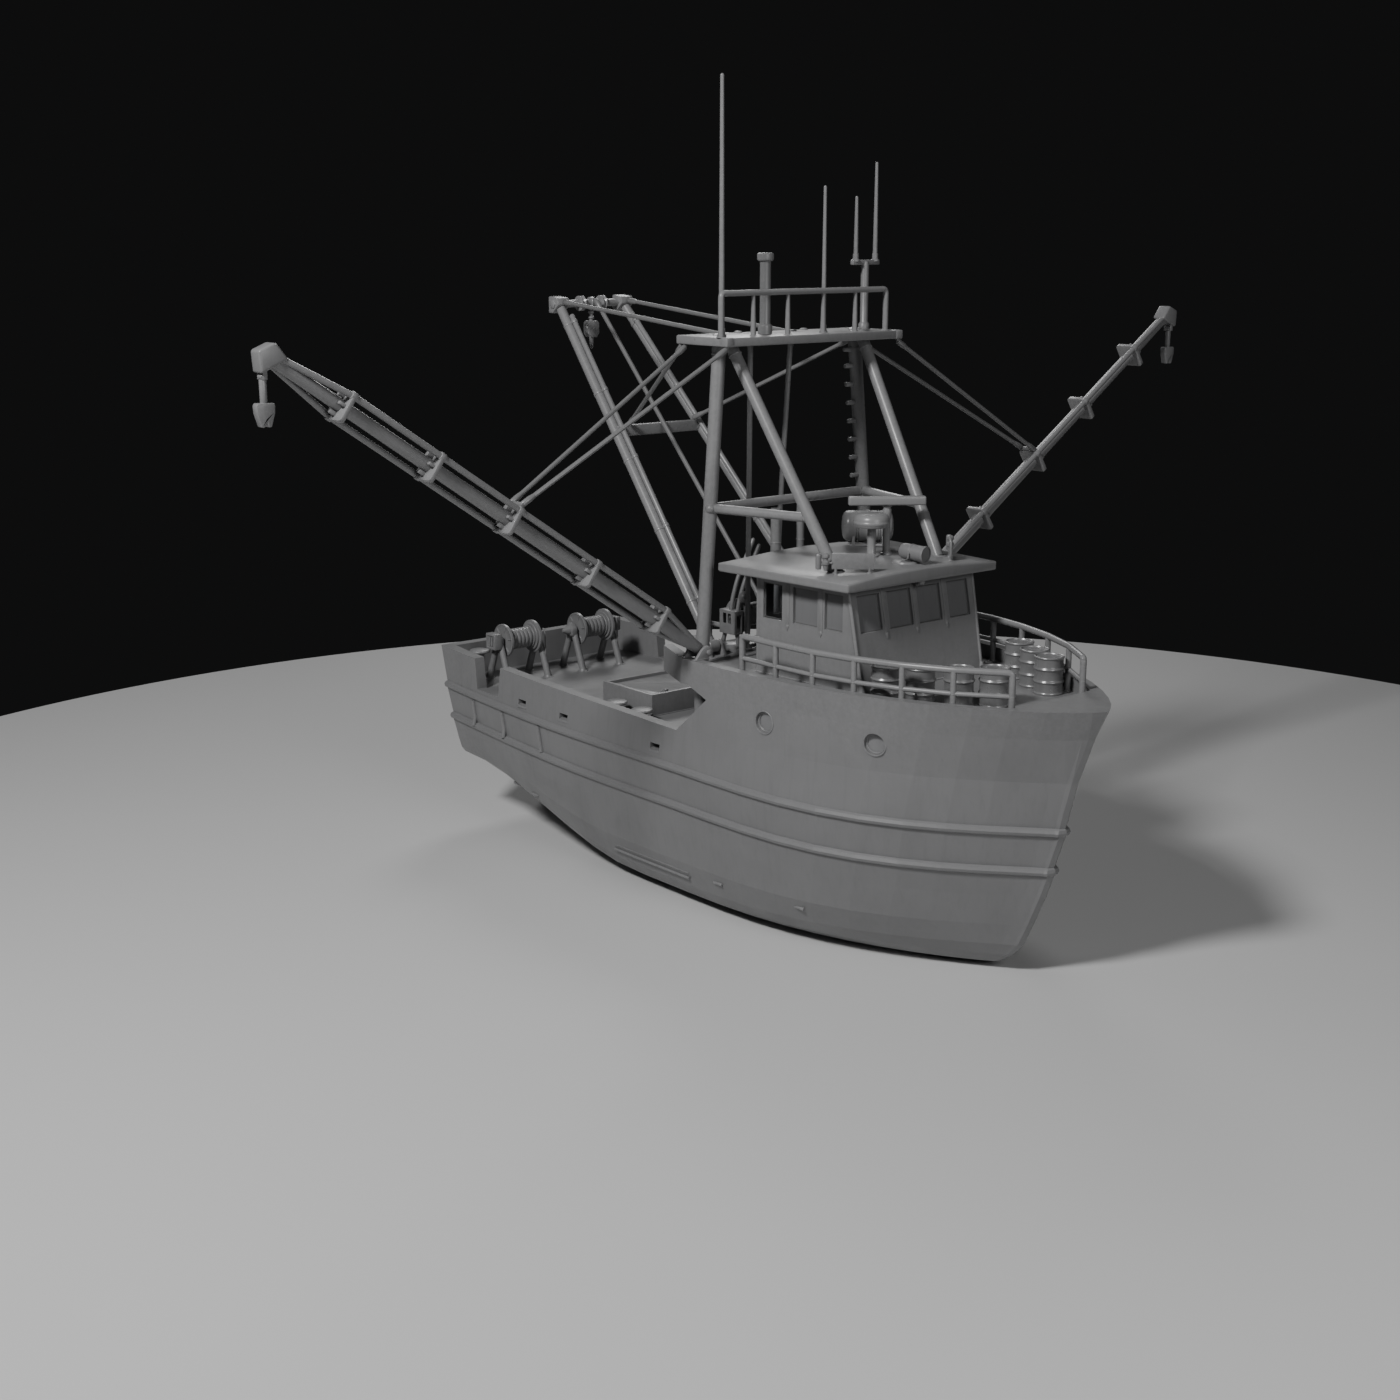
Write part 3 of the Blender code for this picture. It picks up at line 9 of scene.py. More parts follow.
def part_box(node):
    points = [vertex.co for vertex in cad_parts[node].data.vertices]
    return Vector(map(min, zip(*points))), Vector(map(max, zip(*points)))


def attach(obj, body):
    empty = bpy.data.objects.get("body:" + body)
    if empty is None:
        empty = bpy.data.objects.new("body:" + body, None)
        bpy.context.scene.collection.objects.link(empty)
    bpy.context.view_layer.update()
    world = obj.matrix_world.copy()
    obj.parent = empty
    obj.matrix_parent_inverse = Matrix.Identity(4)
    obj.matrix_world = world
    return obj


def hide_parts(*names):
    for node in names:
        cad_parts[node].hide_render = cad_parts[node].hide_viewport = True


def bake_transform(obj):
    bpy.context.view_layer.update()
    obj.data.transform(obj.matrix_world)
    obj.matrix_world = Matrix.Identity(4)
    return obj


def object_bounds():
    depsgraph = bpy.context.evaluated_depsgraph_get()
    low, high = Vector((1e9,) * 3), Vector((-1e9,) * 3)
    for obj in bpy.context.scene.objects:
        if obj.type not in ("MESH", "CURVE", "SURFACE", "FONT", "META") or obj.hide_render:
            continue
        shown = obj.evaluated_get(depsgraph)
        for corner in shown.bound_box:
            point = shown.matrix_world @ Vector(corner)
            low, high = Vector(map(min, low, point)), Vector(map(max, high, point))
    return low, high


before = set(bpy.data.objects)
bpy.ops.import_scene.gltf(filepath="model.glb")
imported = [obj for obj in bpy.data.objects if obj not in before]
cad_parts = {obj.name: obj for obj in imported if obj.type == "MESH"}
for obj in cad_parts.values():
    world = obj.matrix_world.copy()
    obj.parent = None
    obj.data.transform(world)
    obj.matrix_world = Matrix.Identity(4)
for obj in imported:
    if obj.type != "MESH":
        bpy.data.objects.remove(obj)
cad_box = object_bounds()
bpy.ops.object.select_all(action="DESELECT")

BOAT = "boat"
SIDES = (("starboard", -1), ("port", 1))

# Heights of the decks and the main places of the rig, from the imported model
MAIN_DECK_Z = 1.78
RAISED_DECK_Z = 3.95
RIM_Z = 4.27
ROOF_UNDER_Z = 6.3
ROOF_EDGE_Z = 6.5
ROOF_CROWN = 0.12
PLATFORM_LOW, PLATFORM_HIGH = (-0.384, -2.83, 11.48), (1.427, 2.83, 11.68)
HEEL = Vector((0.88, 3.1, 4.42))
OUTRIGGER_ANGLE = math.radians(33.9)
OUTRIGGER_LENGTH = 13.08
SPREADERS = (1.69, 4.03, 6.49, 8.79, 11.2)
BOOM_FOOT = Vector((-0.16, 1.92, 4.2))
BOOM_HEAD = Vector((-7.476, 1.06, 12.14))
BOOM_CROSS_AT = 0.608
LEG_FOOT, LEG_HEAD = Vector((0.54, 2.83, 3.95)), Vector((0.41, 2.18, 11.48))
STRUT_FOOT, STRUT_HEAD = Vector((3.95, 1.67, 6.42)), Vector((0.744, 2.127, 11.48))
CROSS_Z = 7.7
RUNG_Z = (8.1, 8.55, 9.0, 9.45, 9.9, 10.35, 10.8, 11.2)
PORTHOLES = ((3.42, 3.22), (6.25, 3.18))
FREEING_PORTS = (-6.06, -4.13, -0.36)
RAIL_STRIPS = (-8.7, -7.09, -5.28)
RAIL_POSTS = ((8.774, 1.157), (7.767, 1.887), (6.738, 2.39), (5.64, 2.755), (4.557, 2.975), (3.4, 3.03), (2.25, 3.03))
RAIL_TOP_Z = 4.985
DRUM_RADIUS, DRUM_HEIGHT = 0.34, 0.86
STERN_WINCH_X, STERN_WINCH_Z = -9.05, 2.9
STERN_WINCHES = (("1", (-2.03, -1.03), (-2.19, -0.87)), ("2", (0.51, 1.52), (0.35, 1.68)))
DECK_WINCH_X, DECK_WINCH_Z = -0.35, 4.79
HATCH_LOW, HATCH_HIGH = (-5.15, -1.5, 1.78), (-3.05, 1.5, 2.36)
PROPELLER_X, PROPELLER_Z = -8.72, -1.34


# Selecting, placing and joining pieces

def only(piece):
    """Makes one object the only selected one."""
    bpy.ops.object.select_all(action="DESELECT")
    piece.select_set(True)
    bpy.context.view_layer.objects.active = piece


def settle(piece):
    """Puts a piece's place into its mesh."""
    only(piece)
    bpy.ops.object.transform_apply(location=True, rotation=True, scale=True)
    return piece


def soften(piece, width, segments=2, angle=32):
    """Rounds every edge sharper than an angle."""
    only(piece)
    bpy.ops.object.modifier_add(type="BEVEL")
    step = piece.modifiers[-1]
    step.width = width
    step.segments = segments
    step.limit_method = "ANGLE"
    step.angle_limit = math.radians(angle)
    bpy.ops.object.modifier_apply(modifier=step.name)
    return piece


def join(name, parts):
    """Makes several pieces one."""
    bpy.ops.object.select_all(action="DESELECT")
    for part in parts:
        part.select_set(True)
    bpy.context.view_layer.objects.active = parts[0]
    if len(parts) > 1:
        bpy.ops.object.join()
    parts[0].name = name
    parts[0].data.name = name
    return parts[0]


def copied(piece, place=Matrix.Identity(4)):
    """A copy of a piece with its own mesh, moved by a matrix."""
    twin = bpy.data.objects.new(piece.name, piece.data.copy())
    bpy.context.scene.collection.objects.link(twin)
    twin.data.transform(place)
    if place.determinant() < 0:
        twin.data.flip_normals()
    return twin


def other_side(piece):
    """A copy of a piece mirrored to the other side of the centreline."""
    return copied(piece, Matrix.Diagonal((1, -1, 1, 1)))


def turned_about(centre, axis, angle):
    """A turn about an axis through a point."""
    centre = Vector(centre)
    return Matrix.Translation(centre) @ Matrix.Rotation(angle, 4, Vector(axis)) @ Matrix.Translation(-centre)


def round_about(piece, centre, axis, count):
    """A piece and its copies set evenly round an axis."""
    turns = [turned_about(centre, axis, math.tau * index / count) for index in range(1, count)]
    return [piece] + [copied(piece, turn) for turn in turns]


def done(piece, material, body=BOAT, stands_for=(), angle=35, stretch=None):
    """Gives a finished piece its material and smooth shading, hangs it on its body or, when stretched, puts its place
    into its mesh, and hides the nodes that it stands for.
    """
    piece.data.materials.clear()
    piece.data.materials.append(material)
    only(piece)
    bpy.ops.object.shade_smooth_by_angle(angle=math.radians(angle))
    if stretch:
        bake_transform(piece)
    else:
        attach(piece, body)
    if stands_for:
        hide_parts(*stands_for)
    return piece


# Shapes that most pieces start from

def block(low, high, edge=0.012, segments=2):
    """A box with rounded edges."""
    low, high = Vector(low), Vector(high)
    bpy.ops.mesh.primitive_cube_add(size=1, location=(low + high) / 2)
    piece = bpy.context.object
    piece.scale = high - low
    settle(piece)
    return soften(piece, edge, segments) if edge else piece


def rod(start, end, radius, end_radius=None, sides=24, edge=0.0):
    """A round bar, straight or tapered, with its rims rounded if asked."""
    start, end = Vector(start), Vector(end)
    run = end - start
    turn = run.to_track_quat("Z", "Y").to_euler()
    top = radius if end_radius is None else end_radius
    bpy.ops.mesh.primitive_cone_add(
        vertices=sides, radius1=radius, radius2=top, depth=run.length, location=(start + end) / 2, rotation=turn
    )
    piece = settle(bpy.context.object)
    return soften(piece, edge) if edge else piece


def ball(centre, size, segments=24):
    """A ball or an ellipsoid."""
    bpy.ops.mesh.primitive_uv_sphere_add(segments=segments, ring_count=segments // 2, radius=1, location=centre)
    piece = bpy.context.object
    piece.scale = size
    return settle(piece)


def ring(centre, axis, major, minor, around=28, across=10):
    """A ring of round bar."""
    turn = Vector(axis).to_track_quat("Z", "Y").to_euler()
    bpy.ops.mesh.primitive_torus_add(
        location=centre, rotation=turn, major_radius=major, minor_radius=minor, major_segments=around,
        minor_segments=across
    )
    return settle(bpy.context.object)


def rounded(points, bend, steps=5, closed=False):
    """Points of a path whose corners are bent to a radius."""
    points = [Vector(point) for point in points]
    count = len(points)
    path = []
    for index, point in enumerate(points):
        if not closed and index in (0, count - 1):
            path.append(point)
            continue
        before = points[index - 1] - point
        after = points[(index + 1) % count] - point
        reach = min(bend, before.length * 0.45, after.length * 0.45)
        start = point + before.normalized() * reach
        end = point + after.normalized() * reach
        for step in range(steps + 1):
            share = step / steps
            path.append(start.lerp(point, share).lerp(point.lerp(end, share), share))
    return path


def pipe(points, radius, bend=0.0, closed=False, smooth=3):
    """A pipe, wire or bent bar along a path."""
    if bend:
        points = rounded(points, bend, closed=closed)
    curve = bpy.data.curves.new("pipe", "CURVE")
    curve.dimensions = "3D"
    curve.bevel_depth = radius
    curve.bevel_resolution = smooth
    curve.use_fill_caps = not closed
    spline = curve.splines.new("POLY")
    spline.points.add(len(points) - 1)
    spline.use_cyclic_u = closed
    for target, point in zip(spline.points, points):
        target.co = (*point, 1.0)
    piece = bpy.data.objects.new("pipe", curve)
    bpy.context.scene.collection.objects.link(piece)
    only(piece)
    bpy.ops.object.convert(target="MESH")
    return weld(bpy.context.object)


def weld(piece):
    """Merges doubled points and turns the faces outwards."""
    only(piece)
    bpy.ops.object.mode_set(mode="EDIT")
    bpy.ops.mesh.select_all(action="SELECT")
    bpy.ops.mesh.remove_doubles(threshold=0.0001)
    bpy.ops.mesh.normals_make_consistent(inside=False)
    bpy.ops.object.mode_set(mode="OBJECT")
    return piece


def plate(outline, low, high, plane="XY", edge=0.008, holes=()):
    """A flat outline, with holes if asked, given thickness: in XY along z, in XZ along y, or in YZ along x."""
    curve = bpy.data.curves.new("plate", "CURVE")
    curve.dimensions = "2D"
    curve.fill_mode = "BOTH"
    curve.extrude = (high - low) / 2
    for loop in (outline, *holes):
        spline = curve.splines.new("POLY")
        spline.points.add(len(loop) - 1)
        spline.use_cyclic_u = True
        for target, point in zip(spline.points, loop):
            target.co = (point[0], point[1], 0.0, 1.0)
    piece = bpy.data.objects.new("plate", curve)
    bpy.context.scene.collection.objects.link(piece)
    only(piece)
    bpy.ops.object.convert(target="MESH")
    piece = weld(bpy.context.object)
    middle = (low + high) / 2
    places = {
        "XY": Matrix.Translation((0, 0, middle)),
        "XZ": Matrix(((1, 0, 0, 0), (0, 0, -1, middle), (0, 1, 0, 0), (0, 0, 0, 1))),
        "YZ": Matrix(((0, 0, 1, middle), (1, 0, 0, 0), (0, 1, 0, 0), (0, 0, 0, 1))),
    }
    piece.data.transform(places[plane])
    return soften(piece, edge) if edge else piece


def lathe(profile, centre, axis=(0, 0, 1), steps=32):
    """A turned piece from a profile of radius and height, spun about an axis through a point."""
    mesh = bpy.data.meshes.new("lathe")
    points = [(radius, 0.0, height) for radius, height in profile]
    mesh.from_pydata(points, [(index, index + 1) for index in range(len(points) - 1)], [])
    piece = bpy.data.objects.new("lathe", mesh)
    bpy.context.scene.collection.objects.link(piece)
    only(piece)
    bpy.ops.object.mode_set(mode="EDIT")
    bpy.ops.mesh.select_all(action="SELECT")
    bpy.ops.mesh.spin(steps=steps, angle=math.tau, center=(0, 0, 0), axis=(0, 0, 1), use_auto_merge=True)
    bpy.ops.object.mode_set(mode="OBJECT")
    weld(piece)
    turn = Vector(axis).to_track_quat("Z", "Y").to_matrix().to_4x4()
    piece.data.transform(Matrix.Translation(centre) @ turn)
    return piece


def panel(corners, thick, edge=0.004):
    """A sheet between four corners, with its thickness behind them."""
    corners = [Vector(corner) for corner in corners]
    back = (corners[1] - corners[0]).cross(corners[3] - corners[0]).normalized() * -thick
    bpy.ops.mesh.primitive_cube_add(size=1)
    piece = bpy.context.object
    spots = {(-1, -1): 0, (1, -1): 1, (1, 1): 2, (-1, 1): 3}
    for vertex in piece.data.vertices:
        corner = corners[spots[(1 if vertex.co.x > 0 else -1, 1 if vertex.co.y > 0 else -1)]]
        vertex.co = corner if vertex.co.z > 0 else corner + back
    weld(piece)
    return soften(piece, edge) if edge else piece


def bolts(centre, axis, circle, count, size=0.018):
    """Hexagon heads set round a flange."""
    axis = Vector(axis).normalized()
    across = axis.orthogonal().normalized() * circle
    start = Vector(centre) + across
    head = rod(start - axis * size * 0.3, start + axis * size * 0.75, size, sides=6)
    return round_about(head, centre, axis, count)


# Finishes

def add(tree, kind, inputs=(), **settings):
    """A shader node with its settings and its inputs, which are values or other nodes' outputs."""
    made = tree.nodes.new(kind)
    for key, value in settings.items():
        setattr(made, key, value)
    for key, value in dict(inputs).items():
        if isinstance(value, bpy.types.NodeSocket):
            tree.links.new(value, made.inputs[key])
        else:
            made.inputs[key].default_value = value
    return made


def maths(tree, operation, first, second=0.5):
    return add(tree, "ShaderNodeMath", {0: first, 1: second}, operation=operation).outputs[0]


def spread(tree, value, low, high, new_low=0.0, new_high=1.0):
    inputs = {"Value": value, "From Min": low, "From Max": high, "To Min": new_low, "To Max": new_high}
    return add(tree, "ShaderNodeMapRange", inputs).outputs[0]


def noise(tree, place, scale, detail=4.0, rough=0.55):
    inputs = {"Vector": place, "Scale": scale, "Detail": detail, "Roughness": rough}
    return add(tree, "ShaderNodeTexNoise", inputs).outputs["Fac"]


def blended(tree, share, first, second, how="MIX"):
    made = tree.nodes.new("ShaderNodeMix")
    made.data_type = "RGBA"
    made.blend_type = how
    for name, value in (("Factor", share), ("A", first), ("B", second)):
        socket = [s for s in made.inputs if s.name == name and (s.type == "RGBA" or name == "Factor" and s.type == "VALUE")][0]
        if isinstance(value, bpy.types.NodeSocket):
            tree.links.new(value, socket)
        else:
            socket.default_value = value
    return [s for s in made.outputs if s.type == "RGBA"][0]


def weathering_group():
    """Salt-worn paint: cloudy tone, streaks running down, dust on top faces, worn edges and brush grain."""
    group = bpy.data.node_groups.new("salt weathering", "ShaderNodeTree")
    faces = group.interface
    for name, kind, value in (
        ("Colour", "NodeSocketColor", (0.3, 0.3, 0.3, 1)), ("Gloss", "NodeSocketFloat", 0.42),
        ("Clouding", "NodeSocketFloat", 0.5), ("Streaks", "NodeSocketFloat", 0.5),
        ("Dust", "NodeSocketFloat", 0.4), ("Wear", "NodeSocketFloat", 0.4), ("Grain", "NodeSocketFloat", 60.0),
    ):
        faces.new_socket(name, in_out="INPUT", socket_type=kind).default_value = value
    for name, kind in (("Colour", "NodeSocketColor"), ("Roughness", "NodeSocketFloat"), ("Height", "NodeSocketFloat")):
        faces.new_socket(name, in_out="OUTPUT", socket_type=kind)
    given = group.nodes.new("NodeGroupInput").outputs
    out = group.nodes.new("NodeGroupOutput").inputs
    place = group.nodes.new("ShaderNodeTexCoord").outputs["Object"]
    face = group.nodes.new("ShaderNodeNewGeometry")
    cloud = noise(group, place, 0.7, 5.0, 0.6)
    stretched = add(group, "ShaderNodeMapping", {"Vector": place, "Scale": (5.0, 5.0, 0.35)}).outputs[0]
    run = noise(group, stretched, 1.6, 6.0, 0.65)
    upright = maths(group, "ABSOLUTE", add(group, "ShaderNodeSeparateXYZ", {0: face.outputs["Normal"]}).outputs["Z"])
    level = add(group, "ShaderNodeSeparateXYZ", {0: face.outputs["Normal"]}).outputs["Z"]
    sides = spread(group, upright, 0.75, 0.2)
    streak = maths(group, "MULTIPLY", spread(group, run, 0.5, 0.72), sides)
    streak = maths(group, "MULTIPLY", streak, given["Streaks"])
    tone = maths(group, "MULTIPLY", spread(group, cloud, 0.3, 0.7), given["Clouding"])
    dark = add(group, "ShaderNodeHueSaturation", {"Color": given["Colour"], "Value": 0.78}).outputs[0]
    deeper = add(group, "ShaderNodeHueSaturation", {"Color": given["Colour"], "Value": 0.6}).outputs[0]
    pale = add(group, "ShaderNodeHueSaturation", {"Color": given["Colour"], "Value": 1.35}).outputs[0]
    colour = blended(group, tone, given["Colour"], dark)
    colour = blended(group, streak, colour, deeper)
    patchy = noise(group, place, 2.3, 6.0, 0.7)
    top = maths(group, "MULTIPLY", spread(group, level, 0.3, 0.95), spread(group, patchy, 0.35, 0.7))
    dust = maths(group, "MULTIPLY", top, given["Dust"])
    colour = blended(group, dust, colour, pale)
    worn = spread(group, face.outputs["Pointiness"], 0.51, 0.56)
    scuff = noise(group, place, 9.0, 6.0, 0.75)
    edge = maths(group, "MULTIPLY", maths(group, "MULTIPLY", worn, spread(group, scuff, 0.4, 0.62)), given["Wear"])
    colour = blended(group, edge, colour, pale)
    fine = noise(group, place, 1.0, 3.0, 0.6)
    group.links.new(given["Grain"], fine.node.inputs["Scale"])
    speck = maths(group, "MULTIPLY", spread(group, fine, 0.35, 0.65), 0.06)
    colour = blended(group, speck, colour, dark)
    rough = maths(group, "ADD", given["Gloss"], spread(group, cloud, 0.3, 0.7, -0.07, 0.1))
    rough = maths(group, "ADD", rough, maths(group, "MULTIPLY", dust, 0.35))
    rough = maths(group, "ADD", rough, maths(group, "MULTIPLY", streak, 0.12))
    height = maths(group, "ADD", maths(group, "MULTIPLY", fine, 0.25), maths(group, "MULTIPLY", scuff, 0.3))
    height = maths(group, "SUBTRACT", height, maths(group, "MULTIPLY", edge, 0.5))
    group.links.new(colour, out["Colour"])
    group.links.new(rough, out["Roughness"])
    group.links.new(height, out["Height"])
    return group


WEATHERING = weathering_group()


def painted(name, tone, gloss=0.42, clouding=0.5, streaks=0.5, dust=0.4, wear=0.4, grain=60.0, metal=0.0, bump=0.25):
    """A weathered finish with its own tone, gloss and wear."""
    made = bpy.data.materials.new(name)
    made.use_nodes = True
    tree = made.node_tree
    shader = tree.nodes["Principled BSDF"]
    group = tree.nodes.new("ShaderNodeGroup")
    group.node_tree = WEATHERING
    values = {
        "Colour": (*tone, 1), "Gloss": gloss, "Clouding": clouding, "Streaks": streaks, "Dust": dust, "Wear": wear,
        "Grain": grain
    }
    for key, value in values.items():
        group.inputs[key].default_value = value
    lift = add(tree, "ShaderNodeBump", {"Height": group.outputs["Height"], "Strength": bump, "Distance": 0.01})
    tree.links.new(group.outputs["Colour"], shader.inputs["Base Color"])
    tree.links.new(group.outputs["Roughness"], shader.inputs["Roughness"])
    tree.links.new(lift.outputs[0], shader.inputs["Normal"])
    shader.inputs["Metallic"].default_value = metal
    return made


def hull_finish():
    """Hull paint with faint plate seams and frames showing through the plating."""
    made = painted("hull paint", (0.2, 0.2, 0.203), 0.36, 0.4, 0.22, 0.2, 0.25, 50.0, bump=0.15)
    tree = made.node_tree
    lift = [node for node in tree.nodes if node.type == "BUMP"][0]
    place = add(tree, "ShaderNodeSeparateXYZ", {0: tree.nodes.new("ShaderNodeTexCoord").outputs["Object"]})
    lines = []
    for axis, pitch, start in (("X", 1.8, 0.3), ("Z", 1.15, 0.42)):
        steps = maths(tree, "FRACT", maths(tree, "DIVIDE", maths(tree, "ADD", place.outputs[axis], 40 + start), pitch))
        middle = maths(tree, "ABSOLUTE", maths(tree, "SUBTRACT", steps, 0.5))
        lines.append(spread(tree, middle, 0.0, 0.008, 1.0, 0.0))
    seams = maths(tree, "MAXIMUM", *lines)
    seam_bump = add(tree, "ShaderNodeBump", {"Height": seams, "Strength": 0.2, "Distance": 0.006})
    ribs = maths(tree, "SINE", maths(tree, "MULTIPLY", place.outputs["X"], math.tau / 0.6))
    rib_bump = add(tree, "ShaderNodeBump", {"Height": ribs, "Strength": 0.06, "Distance": 0.006})
    tree.links.new(rib_bump.outputs[0], seam_bump.inputs["Normal"])
    tree.links.new(seam_bump.outputs[0], lift.inputs["Normal"])
    return made


def wire_finish():
    """Laid wire rope under thick grease: fine strands in a slant round the rope."""
    made = painted("wire rope", (0.21, 0.21, 0.212), 0.34, 0.3, 0.15, 0.2, 0.2, 90.0, 0.2, 0.1)
    tree = made.node_tree
    lift = [node for node in tree.nodes if node.type == "BUMP"][0]
    place = tree.nodes.new("ShaderNodeTexCoord").outputs["Object"]
    slant = add(tree, "ShaderNodeMapping", {"Vector": place, "Rotation": (0.6, 0.5, 0.4)}).outputs[0]
    wave = add(tree, "ShaderNodeTexWave", {"Vector": slant, "Scale": 26.0, "Distortion": 0.2}).outputs["Fac"]
    strands = add(tree, "ShaderNodeBump", {"Height": wave, "Strength": 0.08, "Distance": 0.001})
    tree.links.new(strands.outputs[0], lift.inputs["Normal"])
    return made


def glass_finish():
    """Salt-hazed window glass."""
    made = painted("window glass", (0.19, 0.191, 0.195), 0.16, 0.3, 0.25, 0.2, 0.0, 30.0, 0.0, 0.05)
    shader = made.node_tree.nodes["Principled BSDF"]
    shader.inputs["Coat Weight"].default_value = 0.4
    return made


def clear_finish():
    """Clear window glass."""
    made = bpy.data.materials.new("clear glass")
    made.use_nodes = True
    shader = made.node_tree.nodes["Principled BSDF"]
    shader.inputs["Base Color"].default_value = (0.9, 0.91, 0.92, 1)
    shader.inputs["Roughness"].default_value = 0.04
    shader.inputs["Metallic"].default_value = 0.0
    shader.inputs["Transmission Weight"].default_value = 1.0
    shader.inputs["IOR"].default_value = 1.45
    return made


HULL = hull_finish()
HOUSE = painted("house paint", (0.22, 0.22, 0.223), 0.38, 0.3, 0.2, 0.1, 0.25, 60.0, bump=0.15)
RIG = painted("rig paint", (0.22, 0.22, 0.223), 0.3, 0.3, 0.15, 0.2, 0.35, 80.0, bump=0.15)
GEAR = painted("gear paint", (0.2, 0.2, 0.203), 0.34, 0.35, 0.2, 0.15, 0.4, 80.0, bump=0.15)
DRUM = painted("drum paint", (0.24, 0.24, 0.243), 0.27, 0.3, 0.2, 0.15, 0.4, 70.0, 0.3, 0.15)
GEL = painted("gel coat", (0.25, 0.25, 0.253), 0.28, 0.25, 0.15, 0.2, 0.15, 120.0, 0.0, 0.08)
WIRE = wire_finish()
RUBBER = painted("window rubber", (0.12, 0.12, 0.12), 0.6, 0.4, 0.3, 0.4, 0.2, 90.0)
BRONZE = painted("bronze", (0.42, 0.32, 0.18), 0.35, 0.5, 0.4, 0.2, 0.5, 60.0, 1.0)
GLASS = glass_finish()
CLEAR = clear_finish()


# Hull fittings

def hull_side(x, z, side):
    """Where the hull's side is at a length and height, and which way it faces."""
    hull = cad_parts["hull"]
    hit, spot, facing, _ = hull.ray_cast(Vector((x, side * 6, z)), Vector((0, -side, 0)))
    return spot, facing.normalized()


def hull_materials():
    for name in ("hull", "rudder"):
        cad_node(name, HULL)


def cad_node(name, material):
    """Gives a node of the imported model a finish, with its corners kept crisp."""
    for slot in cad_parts[name].material_slots:
        slot.material = material


def rail_strips():
    """Half-round bars that join the two rub rails near the stern."""
    for name, side in SIDES:
        parts = []
        for x in RAIL_STRIPS:
            points = []
            for z in (0.72, 0.95, 1.2, 1.44):
                spot, facing = hull_side(x, z, side)
                points.append(spot + facing * 0.015)
            parts.append(pipe(points, 0.06))
        done(join("rail_strips_" + name, parts), HULL)


def portholes():
    """Deep-set portholes: a slim rim, the tube behind it, the glass and its ring of bolts inside."""
    for name, side in SIDES:
        frames, panes = [], []
        for x, z in PORTHOLES:
            spots = [hull_side(x + step, z, side)[0] for step in (-0.45, 0.45)]
            along = (spots[1] - spots[0]).normalized()
            out = Vector((-along.y, along.x, 0)) * side
            out = out if out.y * side > 0 else -out
            middle = (spots[0] + spots[1]) / 2 + out * 0.005
            rim = [(0.25, -0.1), (0.25, 0.006), (0.256, 0.014), (0.272, 0.014), (0.28, 0.006), (0.28, -0.02)]
            frames.append(lathe(rim, middle, out, 44))
            frames.append(lathe([(0.2, -0.1), (0.2, -0.075), (0.215, -0.06), (0.25, -0.06)], middle, out, 44))
            frames += bolts(middle - out * 0.06, out, 0.23, 10, 0.009)
            panes.append(lathe([(0.0, -0.088), (0.12, -0.089), (0.205, -0.092)], middle, out, 44))
        done(join("porthole_frames_" + name, frames), HULL)
        done(join("porthole_glass_" + name, panes), GLASS)


def freeing_ports():
    """Sills that slope outwards in the slots that drain the deck."""
    for name, side in SIDES:
        parts = []
        for x in FREEING_PORTS:
            spot, facing = hull_side(x + 0.3, 1.905, side)
            face = spot.y
            sill = [(face - side * 0.1, 1.86), (face - side * 0.1, 1.76), (face + side * 0.02, 1.76), (face + side * 0.02, 1.81)]
            parts.append(plate(sill, x - 0.195, x + 0.195, "YZ", 0.006))
        done(join("freeing_port_sills_" + name, parts), HULL)


def bulwark_brackets():
    """Stays that hold the bulwarks up from the deck, inboard."""
    for name, side in SIDES:
        parts = []
        for x in (-6.7, -5.5, -4.3, -3.1, -1.9, -0.9):
            hit, spot, _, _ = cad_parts["hull"].ray_cast(Vector((x, 0, 2.42)), Vector((0, side, 0)))
            face = abs(spot.y)
            outline = [
                (side * (face - 0.28), MAIN_DECK_Z), (side * (face + 0.02), MAIN_DECK_Z), (side * (face + 0.02), 2.4),
                (side * (face - 0.05), 2.4), (side * (face - 0.24), 1.86)
            ]
            parts.append(plate(outline, x - 0.008, x + 0.008, "YZ", 0.003))
            flange = [(x, side * (face - 0.05), 2.4), (x, side * (face - 0.24), 1.88), (x, side * (face - 0.28), 1.79)]
            parts.append(pipe(flange, 0.014))
        done(join("bulwark_brackets_" + name, parts), HULL)


def deck_mushrooms():
    """Round-topped vents: a low pair on the starboard deck and a tall one at the transom's corner."""
    parts = []
    vents = ((-3.93, -1.98, 0.36), (-2.83, -2.0, 0.36), (-9.55, -2.5, 0.86))
    for x, y, top in vents:
        profile = [
            (0.0, top), (0.2, top - 0.005), (0.27, top - 0.025), (0.295, top - 0.06), (0.28, top - 0.095),
            (0.16, top - 0.115), (0.13, top - 0.14), (0.12, 0.06), (0.14, 0.035), (0.24, 0.03), (0.25, 0.0),
        ]
        parts.append(lathe(profile, (x, y, MAIN_DECK_Z), steps=36))
        parts += bolts((x, y, MAIN_DECK_Z + 0.03), (0, 0, 1), 0.2, 6, 0.014)
    done(join("deck_vents", parts), GEAR)


